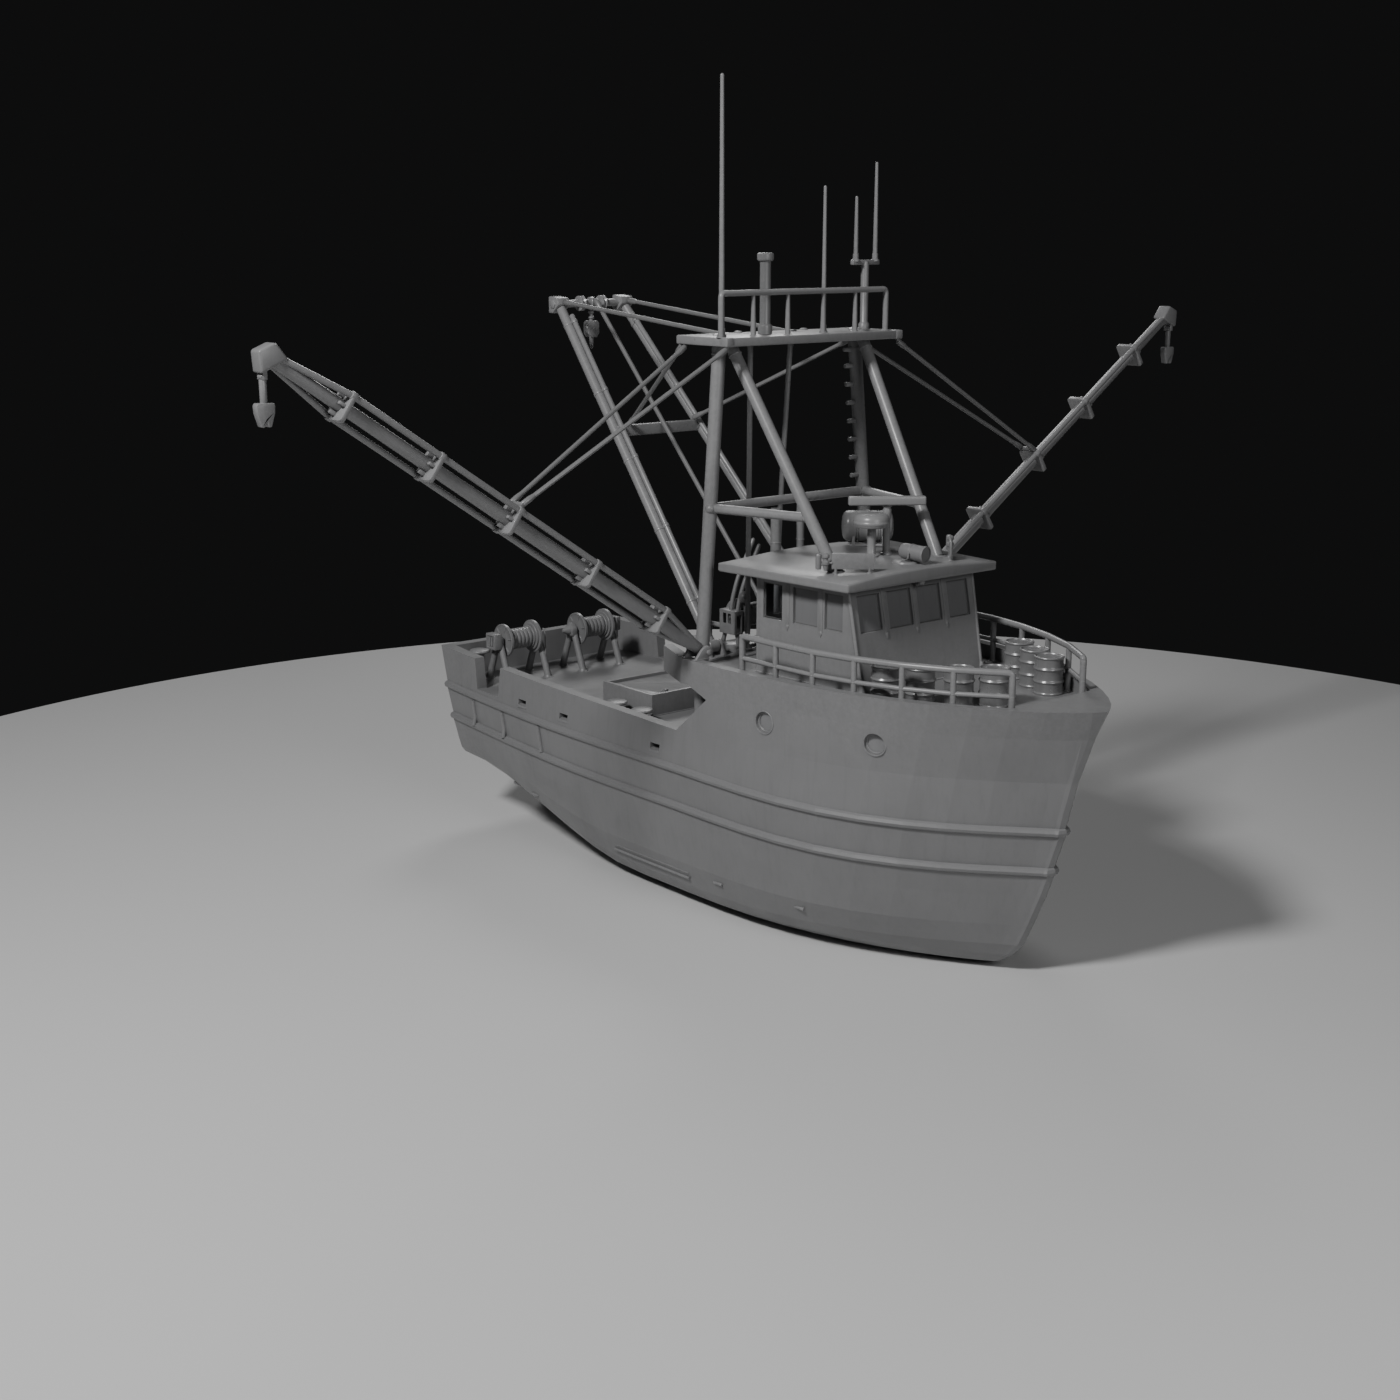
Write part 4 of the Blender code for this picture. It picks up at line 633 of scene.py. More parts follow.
def under_deck_doors():
    """Watertight doors and pipe work on the bulkhead under the raised deck."""
    face = 1.85
    parts = []
    for y in (-1.1, 1.25):
        parts.append(block((face - 0.05, y - 0.42, 1.95), (face + 0.01, y + 0.42, 3.5), 0.02))
        parts.append(block((face - 0.085, y - 0.34, 2.02), (face - 0.03, y + 0.34, 3.43), 0.03, 3))
        for z in (2.25, 3.2):
            parts.append(rod((face - 0.1, y + 0.42, z - 0.07), (face - 0.1, y + 0.42, z + 0.07), 0.025, sides=14, edge=0.004))
            parts.append(block((face - 0.12, y + 0.2, z - 0.03), (face - 0.07, y + 0.42, z + 0.03), 0.006))
        for z in (2.15, 2.72, 3.3):
            parts.append(pipe([(face - 0.07, y - 0.37, z), (face - 0.13, y - 0.37, z), (face - 0.13, y - 0.2, z + 0.05)], 0.013, 0.03))
        wheel = (face - 0.15, y, 2.75)
        parts.append(ring(wheel, (1, 0, 0), 0.13, 0.013))
        parts.append(rod((face - 0.16, y, 2.75), (face - 0.06, y, 2.75), 0.022, sides=14))
        for spoke in range(3):
            angle = math.tau * spoke / 3
            tip = Vector((wheel[0], y + 0.13 * math.cos(angle), 2.75 + 0.13 * math.sin(angle)))
            parts.append(rod(wheel, tip, 0.009, sides=8))
    for y in (-0.25, 0.1, 0.3):
        parts.append(pipe([(face - 0.06, y, 1.8), (face - 0.06, y, 3.4), (face + 0.02, y, 3.62)], 0.03, 0.08))
    done(join("bulkhead_doors", parts), HOUSE)


def underwater_fittings():
    """Anodes, the stern tube's boss and the keel cooler's pipes."""
    parts = [lathe([(0.086, -0.02), (0.12, 0.0), (0.19, 0.12), (0.2, 0.3)], (-8.46, 0, PROPELLER_Z), (1, 0, 0), 28)]
    for name, side in SIDES:
        for x in (-7.4, -6.2, 1.5, 4.0):
            spot, facing = hull_side(x, -1.2 if x > 0 else -0.75, side)
            along = Vector((1, 0, 0))
            parts.append(rod(spot - along * 0.15, spot + along * 0.15, 0.045, sides=12, edge=0.012))
        spots = [hull_side(x, -1.35, side) for x in (-2.6, -1.2, 0.4)]
        for rise in (0.0, 0.14):
            parts.append(pipe([spot + facing * 0.03 + Vector((0, 0, rise)) for spot, facing in spots], 0.035))
    done(join("underwater_fittings", parts), GEAR)


def propeller():
    """Four twisted blades on a tapered hub with a nut."""
    hub = Vector((PROPELLER_X, 0, PROPELLER_Z))
    profile = [(0.0, 0.2), (0.05, 0.19), (0.07, 0.15), (0.1, 0.12), (0.14, 0.02), (0.145, -0.1), (0.12, -0.14), (0.085, -0.15), (0.08, -0.72), (0.0, -0.72)]
    parts = [lathe(profile, hub, (-1, 0, 0), 32)]
    bpy.ops.mesh.primitive_uv_sphere_add(segments=32, ring_count=20, radius=1)
    blade = bpy.context.object
    blade.scale = (0.02, 0.21, 0.27)
    settle(blade)
    only(blade)
    bpy.ops.object.modifier_add(type="SIMPLE_DEFORM")
    twist = blade.modifiers[-1]
    twist.deform_method = "TWIST"
    twist.deform_axis = "Z"
    twist.angle = math.radians(28)
    bpy.ops.object.modifier_apply(modifier=twist.name)
    blade.data.transform(Matrix.Translation(hub + Vector((0, 0, 0.33))) @ Matrix.Rotation(math.radians(32), 4, "Z"))
    parts += round_about(blade, hub, (1, 0, 0), 4)
    done(join("propeller_wheel", parts), BRONZE, "propeller_body", ("propeller",))


def rudder_ribs():
    """Stiffeners across the rudder blade and its pintle collars."""
    x = -9.3
    parts = [block((x - 0.64, -0.062, z - 0.02), (x + 0.1, 0.062, z + 0.02), 0.006) for z in (-1.7, -1.3, -0.9)]
    parts += [rod((x, 0, z - 0.06), (x, 0, z + 0.06), 0.1, edge=0.01) for z in (-1.86, -0.72)]
    done(join("rudder_ribs", parts), HULL, "rudder_body")


# Wheelhouse

FRONT_FOOT_X, FRONT_TOP_X = 5.13, 4.66
AFT_WALL_X = 1.8
FRONT_HALF, AFT_HALF = 1.98, 2.2
WINDOW_LOW_Z, WINDOW_TOP_Z = 5.28, 6.12
SIDE_WINDOWS = ((2.02, 2.62), (2.97, 3.73), (3.95, 4.5))
FRONT_WINDOWS = ((-1.8, -1.1), (-0.86, -0.1), (0.1, 0.86), (1.1, 1.8))
AFT_WINDOWS = ((-1.75, -1.05), (1.05, 1.75))
WALL = 0.08


def front_x(z):
    """Outer face of the raked front wall at a height."""
    share = (z - RAISED_DECK_Z) / (ROOF_UNDER_Z - RAISED_DECK_Z)
    return FRONT_FOOT_X + (FRONT_TOP_X - FRONT_FOOT_X) * share


def side_y(x):
    """Outer face of the side wall at a length."""
    return AFT_HALF + (FRONT_HALF - AFT_HALF) * (x - AFT_WALL_X) / (FRONT_FOOT_X - AFT_WALL_X)


def window_corners():
    """Corners of every window opening on the wall's outer face, each with the way out."""
    low, high = WINDOW_LOW_Z, WINDOW_TOP_Z
    found = []
    rake = Vector((ROOF_UNDER_Z - RAISED_DECK_Z, 0, FRONT_FOOT_X - FRONT_TOP_X)).normalized()
    for left, right in FRONT_WINDOWS:
        corners = [(left, low), (right, low), (right, high), (left, high)]
        found.append(([Vector((front_x(z), y, z)) for y, z in corners], rake))
    for side in (1, -1):
        out = Vector(((AFT_HALF - FRONT_HALF) / (FRONT_FOOT_X - AFT_WALL_X), side, 0)).normalized()
        for left, right in SIDE_WINDOWS:
            corners = [(left, low), (right, low), (right, high), (left, high)]
            found.append(([Vector((x, side * side_y(x), z)) for x, z in corners], out))
    for left, right in AFT_WINDOWS:
        corners = [(left, low), (right, low), (right, high), (left, high)]
        found.append(([Vector((AFT_WALL_X, y, z)) for y, z in corners], Vector((-1, 0, 0))))
    return found


def windows():
    """Slim seals and panes set deep in the wall; the aft panes and the first side ones are clear."""
    seals, panes, clear = [], [], []
    for corners, out in window_corners():
        middle = sum(corners, Vector()) / 4
        inner = [corner + (middle - corner).normalized() * 0.03 for corner in corners]
        seals.append(pipe([corner - out * 0.062 for corner in inner], 0.009, 0.05, closed=True))
        order = [corner - out * 0.062 for corner in corners]
        if (order[1] - order[0]).cross(order[3] - order[0]).dot(out) < 0:
            order = [order[1], order[0], order[3], order[2]]
        pane = panel(order, 0.012, 0)
        (clear if middle.x < 2.7 else panes).append(pane)
    done(join("window_seals", seals), RUBBER)
    done(join("window_panes", panes), GLASS)
    done(join("window_panes_clear", clear), CLEAR)


def teardrop(centre, out, up):
    """The rounded end of a mullion rib, pointed below, on a wall that faces one way."""
    across = up.cross(out)
    piece = ball((0, 0, 0), (0.055, 0.055, 0.026), 20)
    place = Matrix((
        (across.x, up.x, out.x, centre.x), (across.y, up.y, out.y, centre.y), (across.z, up.z, out.z, centre.z),
        (0, 0, 0, 1),
    ))
    for vertex in piece.data.vertices:
        if vertex.co.y < 0:
            vertex.co.y *= 2.0
            vertex.co.x *= max(1 + vertex.co.y / 0.13, 0.08)
    piece.data.transform(place)
    return piece


def house_trim():
    """Mullion ribs that end in drops under the windows, corner bars with flared feet and the aft louvres."""
    parts = []
    low, high = WINDOW_LOW_Z - 0.1, ROOF_UNDER_Z
    rake = Vector((ROOF_UNDER_Z - RAISED_DECK_Z, 0, FRONT_FOOT_X - FRONT_TOP_X)).normalized()
    climb = Vector((FRONT_TOP_X - FRONT_FOOT_X, 0, ROOF_UNDER_Z - RAISED_DECK_Z)).normalized()
    for y in (-0.98, 0.0, 0.98):
        spots = ((-0.055, low), (0.055, low), (0.055, high), (-0.055, high))
        corners = [Vector((front_x(z) + 0.014, y + step, z)) for step, z in spots]
        parts.append(panel(corners, 0.04, 0.012))
        parts.append(teardrop(Vector((front_x(low), y, low)), rake, climb))
    for side in (1, -1):
        lean = (AFT_HALF - FRONT_HALF) / (FRONT_FOOT_X - AFT_WALL_X)
        out = Vector((lean, side, 0)).normalized()
        for x in (2.8, 3.84):
            spots = ((-0.055, low), (0.055, low), (0.055, high), (-0.055, high))
            corners = [Vector((x + step, side * side_y(x + step), z)) + out * 0.014 for step, z in spots]
            if side < 0:
                parts.append(panel(corners, 0.04, 0.012))
            else:
                parts.append(panel([corners[1], corners[0], corners[3], corners[2]], 0.04, 0.012))
            parts.append(teardrop(Vector((x, side * side_y(x), low)), out, Vector((0, 0, 1))))
        corner = [(front_x(z) - 0.02, side * (side_y(front_x(z)) - 0.01), z) for z in (RAISED_DECK_Z, ROOF_UNDER_Z)]
        parts.append(pipe(corner, 0.05, smooth=4))
        foot = (FRONT_FOOT_X - 0.02, side * (side_y(FRONT_FOOT_X) - 0.01), RAISED_DECK_Z)
        parts.append(lathe([(0.04, 0.22), (0.055, 0.16), (0.09, 0.03), (0.1, 0.0)], foot, steps=24))
        aft = [(AFT_WALL_X + 0.03, side * (AFT_HALF - 0.03), z) for z in (RAISED_DECK_Z, ROOF_UNDER_Z)]
        parts.append(pipe(aft, 0.045, smooth=4))
        foot = [(AFT_WALL_X, side * (AFT_HALF + 0.004), 3.965), (FRONT_FOOT_X, side * (side_y(FRONT_FOOT_X) + 0.004), 3.965)]
        parts.append(pipe(foot, 0.022))
    parts.append(pipe([(FRONT_FOOT_X + 0.004, -FRONT_HALF, 3.965), (FRONT_FOOT_X + 0.004, FRONT_HALF, 3.965)], 0.022))
    for y in (-1.2, 1.2):
        parts.append(block((AFT_WALL_X - 0.06, y - 0.28, 4.35), (AFT_WALL_X + 0.01, y + 0.28, 4.85), 0.02))
        for step in range(6):
            height = 4.41 + 0.072 * step
            parts.append(block((AFT_WALL_X - 0.085, y - 0.24, height), (AFT_WALL_X - 0.05, y + 0.24, height + 0.03), 0.008))
    done(join("house_trim", parts), HOUSE)


def door_gear():
    """The aft door's frame stiffeners, window seal, pane and dogs."""
    face = AFT_WALL_X + 0.01
    seal = pipe([(face - 0.002, y, z) for y, z in ((-0.22, 5.05), (0.22, 5.05), (0.22, 5.6), (-0.22, 5.6))], 0.018, 0.06, closed=True)
    done(join("door_seal", [seal]), RUBBER, "wheelhouse_door_body")
    pane = block((face + 0.012, -0.225, 5.045), (face + 0.022, 0.225, 5.605), 0)
    done(join("door_pane", [pane]), GLASS, "wheelhouse_door_body")
    ribs = [block((face - 0.012, -0.3, 4.25), (face + 0.005, 0.3, 4.3), 0.005), block((face - 0.012, -0.3, 4.75), (face + 0.005, 0.3, 4.8), 0.005)]
    ribs += [rod((face - 0.02, -0.3, z), (face + 0.005, -0.3, z), 0.03, sides=16, edge=0.006) for z in (4.9, 5.15)]
    done(join("door_ribs", ribs), HOUSE, "wheelhouse_door_body")


def helm():
    """Console, wheel, screens and the skipper's chair inside the wheelhouse."""
    parts = [
        block((3.95, -1.5, RAISED_DECK_Z + 0.01), (4.35, 1.5, 4.95), 0.03), block((3.85, -1.55, 4.93), (4.42, 1.55, 5.0), 0.02),
        block((2.7, -0.3, 4.55), (3.2, 0.3, 4.68), 0.05, 4), block((2.62, -0.28, 4.65), (2.74, 0.28, 5.4), 0.05, 4),
        rod((2.95, 0, RAISED_DECK_Z + 0.01), (2.95, 0, 4.56), 0.05), rod((2.95, 0, RAISED_DECK_Z + 0.01), (2.95, 0, 4.0), 0.25, edge=0.015),
        ring((3.8, 0, 4.8), (-0.94, 0, 0.34), 0.26, 0.022, 36), rod((3.86, 0, 4.78), (3.78, 0, 4.81), 0.05, edge=0.01),
    ]
    for spoke in range(3):
        angle = math.tau * spoke / 3 + 0.5
        tip = Vector((3.8, 0, 4.8)) + Vector((0.34 * math.sin(angle), math.cos(angle), 0.94 * math.sin(angle))) * 0.26
        parts.append(rod((3.8, 0, 4.8), tip, 0.013, sides=10))
    for y in (-1.1, -0.6, 0.6, 1.1):
        parts.append(block((4.1, y - 0.18, 5.0), (4.16, y + 0.18, 5.27), 0.012))
    parts.append(block((1.95, 1.1, RAISED_DECK_Z + 0.01), (3.2, 1.95, 4.4), 0.03))
    done(join("helm_and_seat", parts), GEAR)


def roof_trim():
    """Gutter lip and lights under the overhang."""
    fore, aft = (5.07, 2.43), (1.02, 2.75)
    edge = [(aft[0], -aft[1]), (fore[0], -fore[1]), (fore[0], fore[1]), (aft[0], aft[1])]
    inset = [(x + (0.035 if x < 2 else -0.035), y * 0.985, ROOF_UNDER_Z + 0.03) for x, y in edge]
    parts = [pipe(inset, 0.03, 0.05, closed=True)]
    done(join("roof_gutter", parts), HOUSE)
    lamps = []
    for x, y in ((1.2, -1.6), (1.2, 1.6), (4.95, 0.0)):
        lamps.append(rod((x, y, ROOF_UNDER_Z - 0.06), (x, y, ROOF_UNDER_Z + 0.01), 0.09, edge=0.01))
        lamps.append(ball((x, y, ROOF_UNDER_Z - 0.06), (0.075, 0.075, 0.05)))
    done(join("deckhead_lights", lamps), GEL)


def eased(node, name, material, width, body=BOAT):
    """A copy of a node's solid with its edges rounded, in the node's place."""
    piece = copied(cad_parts[node])
    only(piece)
    bpy.ops.object.mode_set(mode="EDIT")
    bpy.ops.mesh.select_all(action="SELECT")
    bpy.ops.mesh.remove_doubles(threshold=0.0005)
    bpy.ops.mesh.dissolve_limited(angle_limit=math.radians(1))
    bpy.ops.object.mode_set(mode="OBJECT")
    soften(piece, width, 3, 25)
    piece.name = name
    piece.data.name = name
    return done(piece, material, body, (node,))


def house():
    """The walls' paint, the roof and door with eased edges, and all that is fixed to them."""
    for name in ("wheelhouse_front", "wheelhouse_side_starboard", "wheelhouse_side_port", "wheelhouse_aft"):
        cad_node(name, HOUSE)
    eased("wheelhouse_roof", "roof_plate", HOUSE, 0.05)
    eased("wheelhouse_door", "door_leaf", HOUSE, 0.006, "wheelhouse_door_body")
    windows()
    house_trim()
    door_gear()
    helm()
    roof_trim()


# Foredeck

def foredeck_rails():
    """Bent top rail, middle rail and posts with welded feet."""
    mid_z = (RAISED_DECK_Z + RAIL_TOP_Z) / 2
    for name, side in SIDES:
        tops = [Vector((x, side * y, RAIL_TOP_Z)) for x, y in RAIL_POSTS]
        first, last = tops[0], tops[-1]
        ends = [Vector((first.x, first.y, RAISED_DECK_Z))] + tops + [Vector((last.x, last.y, RAISED_DECK_Z))]
        parts = [pipe(rounded(ends, 0.1), 0.075, smooth=5)]
        parts.append(pipe([(p.x, p.y, mid_z) for p in tops], 0.056, smooth=4))
        for x, y in RAIL_POSTS:
            parts.append(rod((x, side * y, RAISED_DECK_Z), (x, side * y, RAIL_TOP_Z), 0.068, sides=20))
            foot = [(0.0, 0.03), (0.085, 0.028), (0.1, 0.012), (0.102, 0.0)]
            parts.append(lathe(foot, (x, side * y, RAISED_DECK_Z), steps=20))
            parts.append(ring((x, side * y, mid_z), (0, 0, 1), 0.066, 0.012, 20, 8))
        done(join("rails_" + name, parts), RIG, stands_for=("foredeck_rail_" + name,))


def drums():
    """Steel drums: rolled hoops, a folded chime, and a lid with two bungs."""
    r, top = DRUM_RADIUS, DRUM_HEIGHT
    profile = [(0.0, top - 0.04), (0.1, top - 0.038), (r - 0.06, top - 0.036), (r - 0.045, top - 0.03)]
    profile += [(r - 0.034, top - 0.006), (r - 0.022, top), (r - 0.008, top - 0.004), (r + 0.002, top - 0.02), (r - 0.004, top - 0.045), (r - 0.018, top - 0.06)]
    for z in (0.58, 0.29):
        profile += [(r - 0.018, z + 0.05), (r - 0.012, z + 0.034), (r + 0.004, z + 0.018), (r + 0.01, z), (r + 0.004, z - 0.018), (r - 0.012, z - 0.034), (r - 0.018, z - 0.05)]
    profile += [(r - 0.018, 0.06), (r - 0.004, 0.045), (r, 0.02), (r - 0.01, 0.002), (r - 0.03, 0.0), (r - 0.04, 0.02), (0.0, 0.022)]
    for index in range(7):
        name = f"drum_{index + 1}"
        low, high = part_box(name)
        foot = Vector(((low.x + high.x) / 2, (low.y + high.y) / 2, low.z))
        parts = [lathe(profile, foot, steps=44)]
        turn = 0.7 + index * 1.9
        for reach, size in ((0.22, 0.035), (-0.22, 0.022)):
            spot = foot + Vector((reach * math.cos(turn), reach * math.sin(turn), top - 0.04))
            parts.append(lathe([(0.0, 0.018), (size * 0.5, 0.018), (size * 0.9, 0.014), (size, 0.0)], spot, steps=16))
        done(join(name + "_steel", parts), DRUM, stands_for=(name,))


# Mast

def along(start, end, z):
    """The point of a straight leg at a height."""
    share = (z - start.z) / (end.z - start.z)
    return start.lerp(end, share)


def mast():
    """Four pipe legs with weld collars and foot plates, the U-shaped cross pipe and the rungs."""
    half = []
    sunk = along(LEG_FOOT, LEG_HEAD, RAISED_DECK_Z + 0.02)
    half.append(rod(sunk, LEG_HEAD, 0.165, sides=36))
    half.append(rod(along(STRUT_FOOT, STRUT_HEAD, ROOF_EDGE_Z + 0.03), STRUT_HEAD, 0.142, sides=32))
    foot_plate = [(0.0, 0.03), (0.2, 0.03), (0.28, 0.024), (0.285, 0.0)]
    half.append(lathe(foot_plate, (LEG_FOOT.x, LEG_FOOT.y - 0.005, RAISED_DECK_Z), steps=36))
    half += bolts((LEG_FOOT.x, LEG_FOOT.y, RAISED_DECK_Z + 0.03), (0, 0, 1), 0.235, 8, 0.016)
    strut = Vector((3.95, 1.67, 6.55))
    half.append(lathe([(0.14, 0.05), (0.152, 0.03), (0.175, 0.012), (0.18, -0.06)], strut, steps=32))
    leg, foreleg = along(LEG_FOOT, LEG_HEAD, CROSS_Z), along(STRUT_FOOT, STRUT_HEAD, CROSS_Z)
    half.append(rod(leg, foreleg, 0.11, sides=28))
    half.append(ball(leg + Vector((0.09, 0.07, 0)), (0.125, 0.125, 0.12), 24))
    run = (foreleg - leg).normalized()
    for spot, reach in ((leg, 0.17), (foreleg, -0.16)):
        half.append(ring(spot + run * reach, run, 0.112, 0.016, 28, 8))
    for share, start, end, radius in ((0.97, LEG_FOOT, LEG_HEAD, 0.168), (0.955, STRUT_FOOT, STRUT_HEAD, 0.145)):
        half.append(ring(start.lerp(end, share), end - start, radius, 0.016, 32, 8))
    both = half + [other_side(part) for part in half]
    both.append(rod((leg.x, -leg.y, CROSS_Z), (leg.x, leg.y, CROSS_Z), 0.115, sides=28))
    for side in (1, -1):
        both.append(ring((leg.x, side * (leg.y - 0.17), CROSS_Z), (0, 1, 0), 0.117, 0.016, 28, 8))
    for z in RUNG_Z:
        middle = along(LEG_FOOT, LEG_HEAD, z)
        start = Vector((middle.x, middle.y - 0.12, z))
        both.append(rod(start, start - Vector((0, 0.27, 0)), 0.062, 0.05, sides=20, edge=0.012))
    done(join("mast_pipes", both), RIG, stands_for=("mast_frame",))


def platform():
    """Platform plate with its edge bar and corner castings, its rail, lamp post, leg caps and aerials."""
    low, high = Vector(PLATFORM_LOW), Vector(PLATFORM_HIGH)
    parts = [block(low, high, 0.03, 3)]
    top = high.z
    for side in (1, -1):
        near, far = sorted((side * (high.y - 0.24), side * (high.y + 0.008)))
        parts.append(block((high.x - 0.24, near, low.z - 0.008), (high.x + 0.008, far, top + 0.006), 0.04, 3))
        parts.append(lathe([(0.0, 0.05), (0.11, 0.045), (0.16, 0.02), (0.17, 0.0)], (0.41, side * 2.18, top), steps=28))
        for x, y in ((-0.22, side * 1.06), (0.1, side * 0.4)):
            parts.append(lathe([(0.0, 0.045), (0.07, 0.042), (0.1, 0.022), (0.11, 0.0)], (x, y, top), steps=24))
    rail_x, rail_z = 1.15, 12.66
    posts = (-2.76, -1.79, -0.72, 0.41, 1.46, 2.49)
    path = [(rail_x, posts[0], top), (rail_x, posts[0], rail_z), (rail_x, posts[-1], rail_z), (rail_x, posts[-1], top)]
    parts.append(pipe(path, 0.07, 0.1, smooth=5))
    for y in posts[1:-1]:
        parts.append(rod((rail_x, y, top - 0.01), (rail_x, y, rail_z), 0.066, 0.046, sides=20))
    for y in posts:
        parts.append(lathe([(0.0, 0.02), (0.09, 0.018), (0.11, 0.0)], (rail_x, y, top), steps=20))
    parts += aerial((0.98, -2.6), top, 17.42, 0.068, 0.045)
    parts += aerial((1.12, 0.45), top, 15.06, 0.06, 0.038)
    lamp = [
        (0.0, 1.86), (0.16, 1.855), (0.195, 1.83), (0.2, 1.8), (0.195, 1.7), (0.17, 1.67), (0.13, 1.66), (0.127, 0.26),
        (0.135, 0.22), (0.16, 0.2), (0.17, 0.16), (0.17, 0.0),
    ]
    parts.append(lathe(lamp, (0.5, -0.85, top), steps=32))
    post = [(0.0, 1.62), (0.09, 1.62), (0.1, 1.55), (0.1, 0.17), (0.12, 0.14), (0.14, 0.11), (0.14, 0.0)]
    parts.append(lathe(post, (0.3, 2.6, top), steps=28))
    parts.append(block((0.24, 2.15, 13.22), (0.36, 3.05, 13.34), 0.02))
    parts += aerial((0.3, 2.28), 13.3, 14.85, 0.06, 0.038)
    parts += aerial((0.3, 2.94), 13.3, 15.66, 0.062, 0.038)
    done(join("mast_head", parts), RIG, stands_for=("mast_platform",))


def aerial(place, foot, tip, radius, tip_radius):
    """A whip in a stepped socket, with a round tip."""
    x, y = place
    socket = [(0.0, 0.2), (radius + 0.012, 0.19), (radius + 0.015, 0.06), (radius + 0.04, 0.04), (radius + 0.045, 0.0)]
    whip = rod((x, y, foot), (x, y, tip - tip_radius), radius, tip_radius, sides=20)
    return [whip, ball((x, y, tip - tip_radius), (tip_radius,) * 3, 16), lathe(socket, (x, y, foot), steps=20)]


# Roof gear

def roof_top(y):
    """Height of the crowned roof at a distance from the centreline."""
    share = min(abs(y) / 2.4, 1.0)
    return ROOF_EDGE_Z + ROOF_CROWN * (1 - share * share)


def radar():
    x, y = 3.144, 0.68
    foot = roof_top(y)
    profile = [(0.0, 7.68), (0.1, 7.679), (0.105, 7.66), (0.105, 7.47), (0.088, 7.44), (0.085, foot + 0.1), (0.095, foot + 0.06), (0.14, foot + 0.04), (0.15, foot)]
    parts = [lathe([(r, z) for r, z in profile], (x, y, 0), steps=32)]
    parts += bolts((x, y, foot + 0.05), (0, 0, 1), 0.12, 6, 0.012)
    done(join("radar_post", parts), GEL, stands_for=("radar_pedestal",))
    bar = block((-0.92, -0.1, 7.77), (0.92, 0.1, 7.985), 0.045, 4)
    parts = [bar, block((-0.88, 0.095, 7.82), (0.88, 0.108, 7.94), 0.01), lathe([(0.09, 7.682), (0.09, 7.74), (0.15, 7.77)], (0, 0, 0), steps=28)]
    scanner = join("radar_scanner", parts)
    scanner.data.transform(Matrix.Translation((x, y, 0)) @ Matrix.Rotation(math.radians(54), 4, "Z"))
    done(scanner, GEL, "radar_bar_body", ("radar_bar",))


def dome():
    x, y = 3.21, 0.12
    foot = roof_top(y)
    profile = [
        (0.0, 7.655), (0.12, 7.652), (0.24, 7.645), (0.31, 7.63), (0.37, 7.6), (0.405, 7.55), (0.418, 7.49), (0.424, 7.45),
        (0.432, 7.44), (0.432, 7.41), (0.424, 7.4), (0.42, 7.36), (0.39, 7.325), (0.3, 7.31), (0.13, 7.305), (0.1, 7.26),
        (0.1, foot + 0.08), (0.12, foot + 0.05), (0.165, foot + 0.035), (0.17, foot)
    ]
    parts = [lathe([(r, z) for r, z in profile], (x, y, 0), steps=44)]
    parts += bolts((x, y, foot + 0.04), (0, 0, 1), 0.142, 6, 0.011)
    done(join("satellite_radome", parts), GEL, stands_for=("satellite_dome",))


def liferaft():
    """Two-shell canister with bands, lugs and its cradle."""
    r = 0.37
    profile = [(0.0, 0.63), (0.12, 0.625), (0.24, 0.61), (0.31, 0.58), (0.355, 0.53), (r, 0.47), (r, 0.3), (r - 0.012, 0.285), (r - 0.012, 0.24), (r, 0.225), (r, 0.05), (r + 0.02, 0.035), (r + 0.02, 0.0)]
    profile += [(a, -b) for a, b in reversed(profile[:-1])]
    parts = [lathe(profile, (0, 0, 7.06), (0, 1, 0), 40)]
    for y in (-0.262, 0.262):
        parts.append(ring((0, y, 7.06), (0, 1, 0), r - 0.002, 0.012, 40, 8))
    for y in (-0.36, 0.36):
        saddle = [(-0.3, 6.62), (0.3, 6.62), (0.3, 6.9), (0.22, 6.86), (0.12, 6.76), (0.0, 6.72), (-0.12, 6.76), (-0.22, 6.86), (-0.3, 6.9)]
        parts.append(plate(saddle, y - 0.03, y + 0.03, "XZ", 0.006))
    for x in (-0.27, 0.27):
        parts.append(block((x - 0.025, -0.45, 6.6), (x + 0.025, 0.45, 6.65), 0.006))
    canister = join("liferaft_shell", parts)
    canister.data.transform(Matrix.Translation((1.775, 1.41, 0)) @ Matrix.Rotation(math.radians(-39.6), 4, "Z"))
    done(canister, GEL, stands_for=("liferaft_canister",))


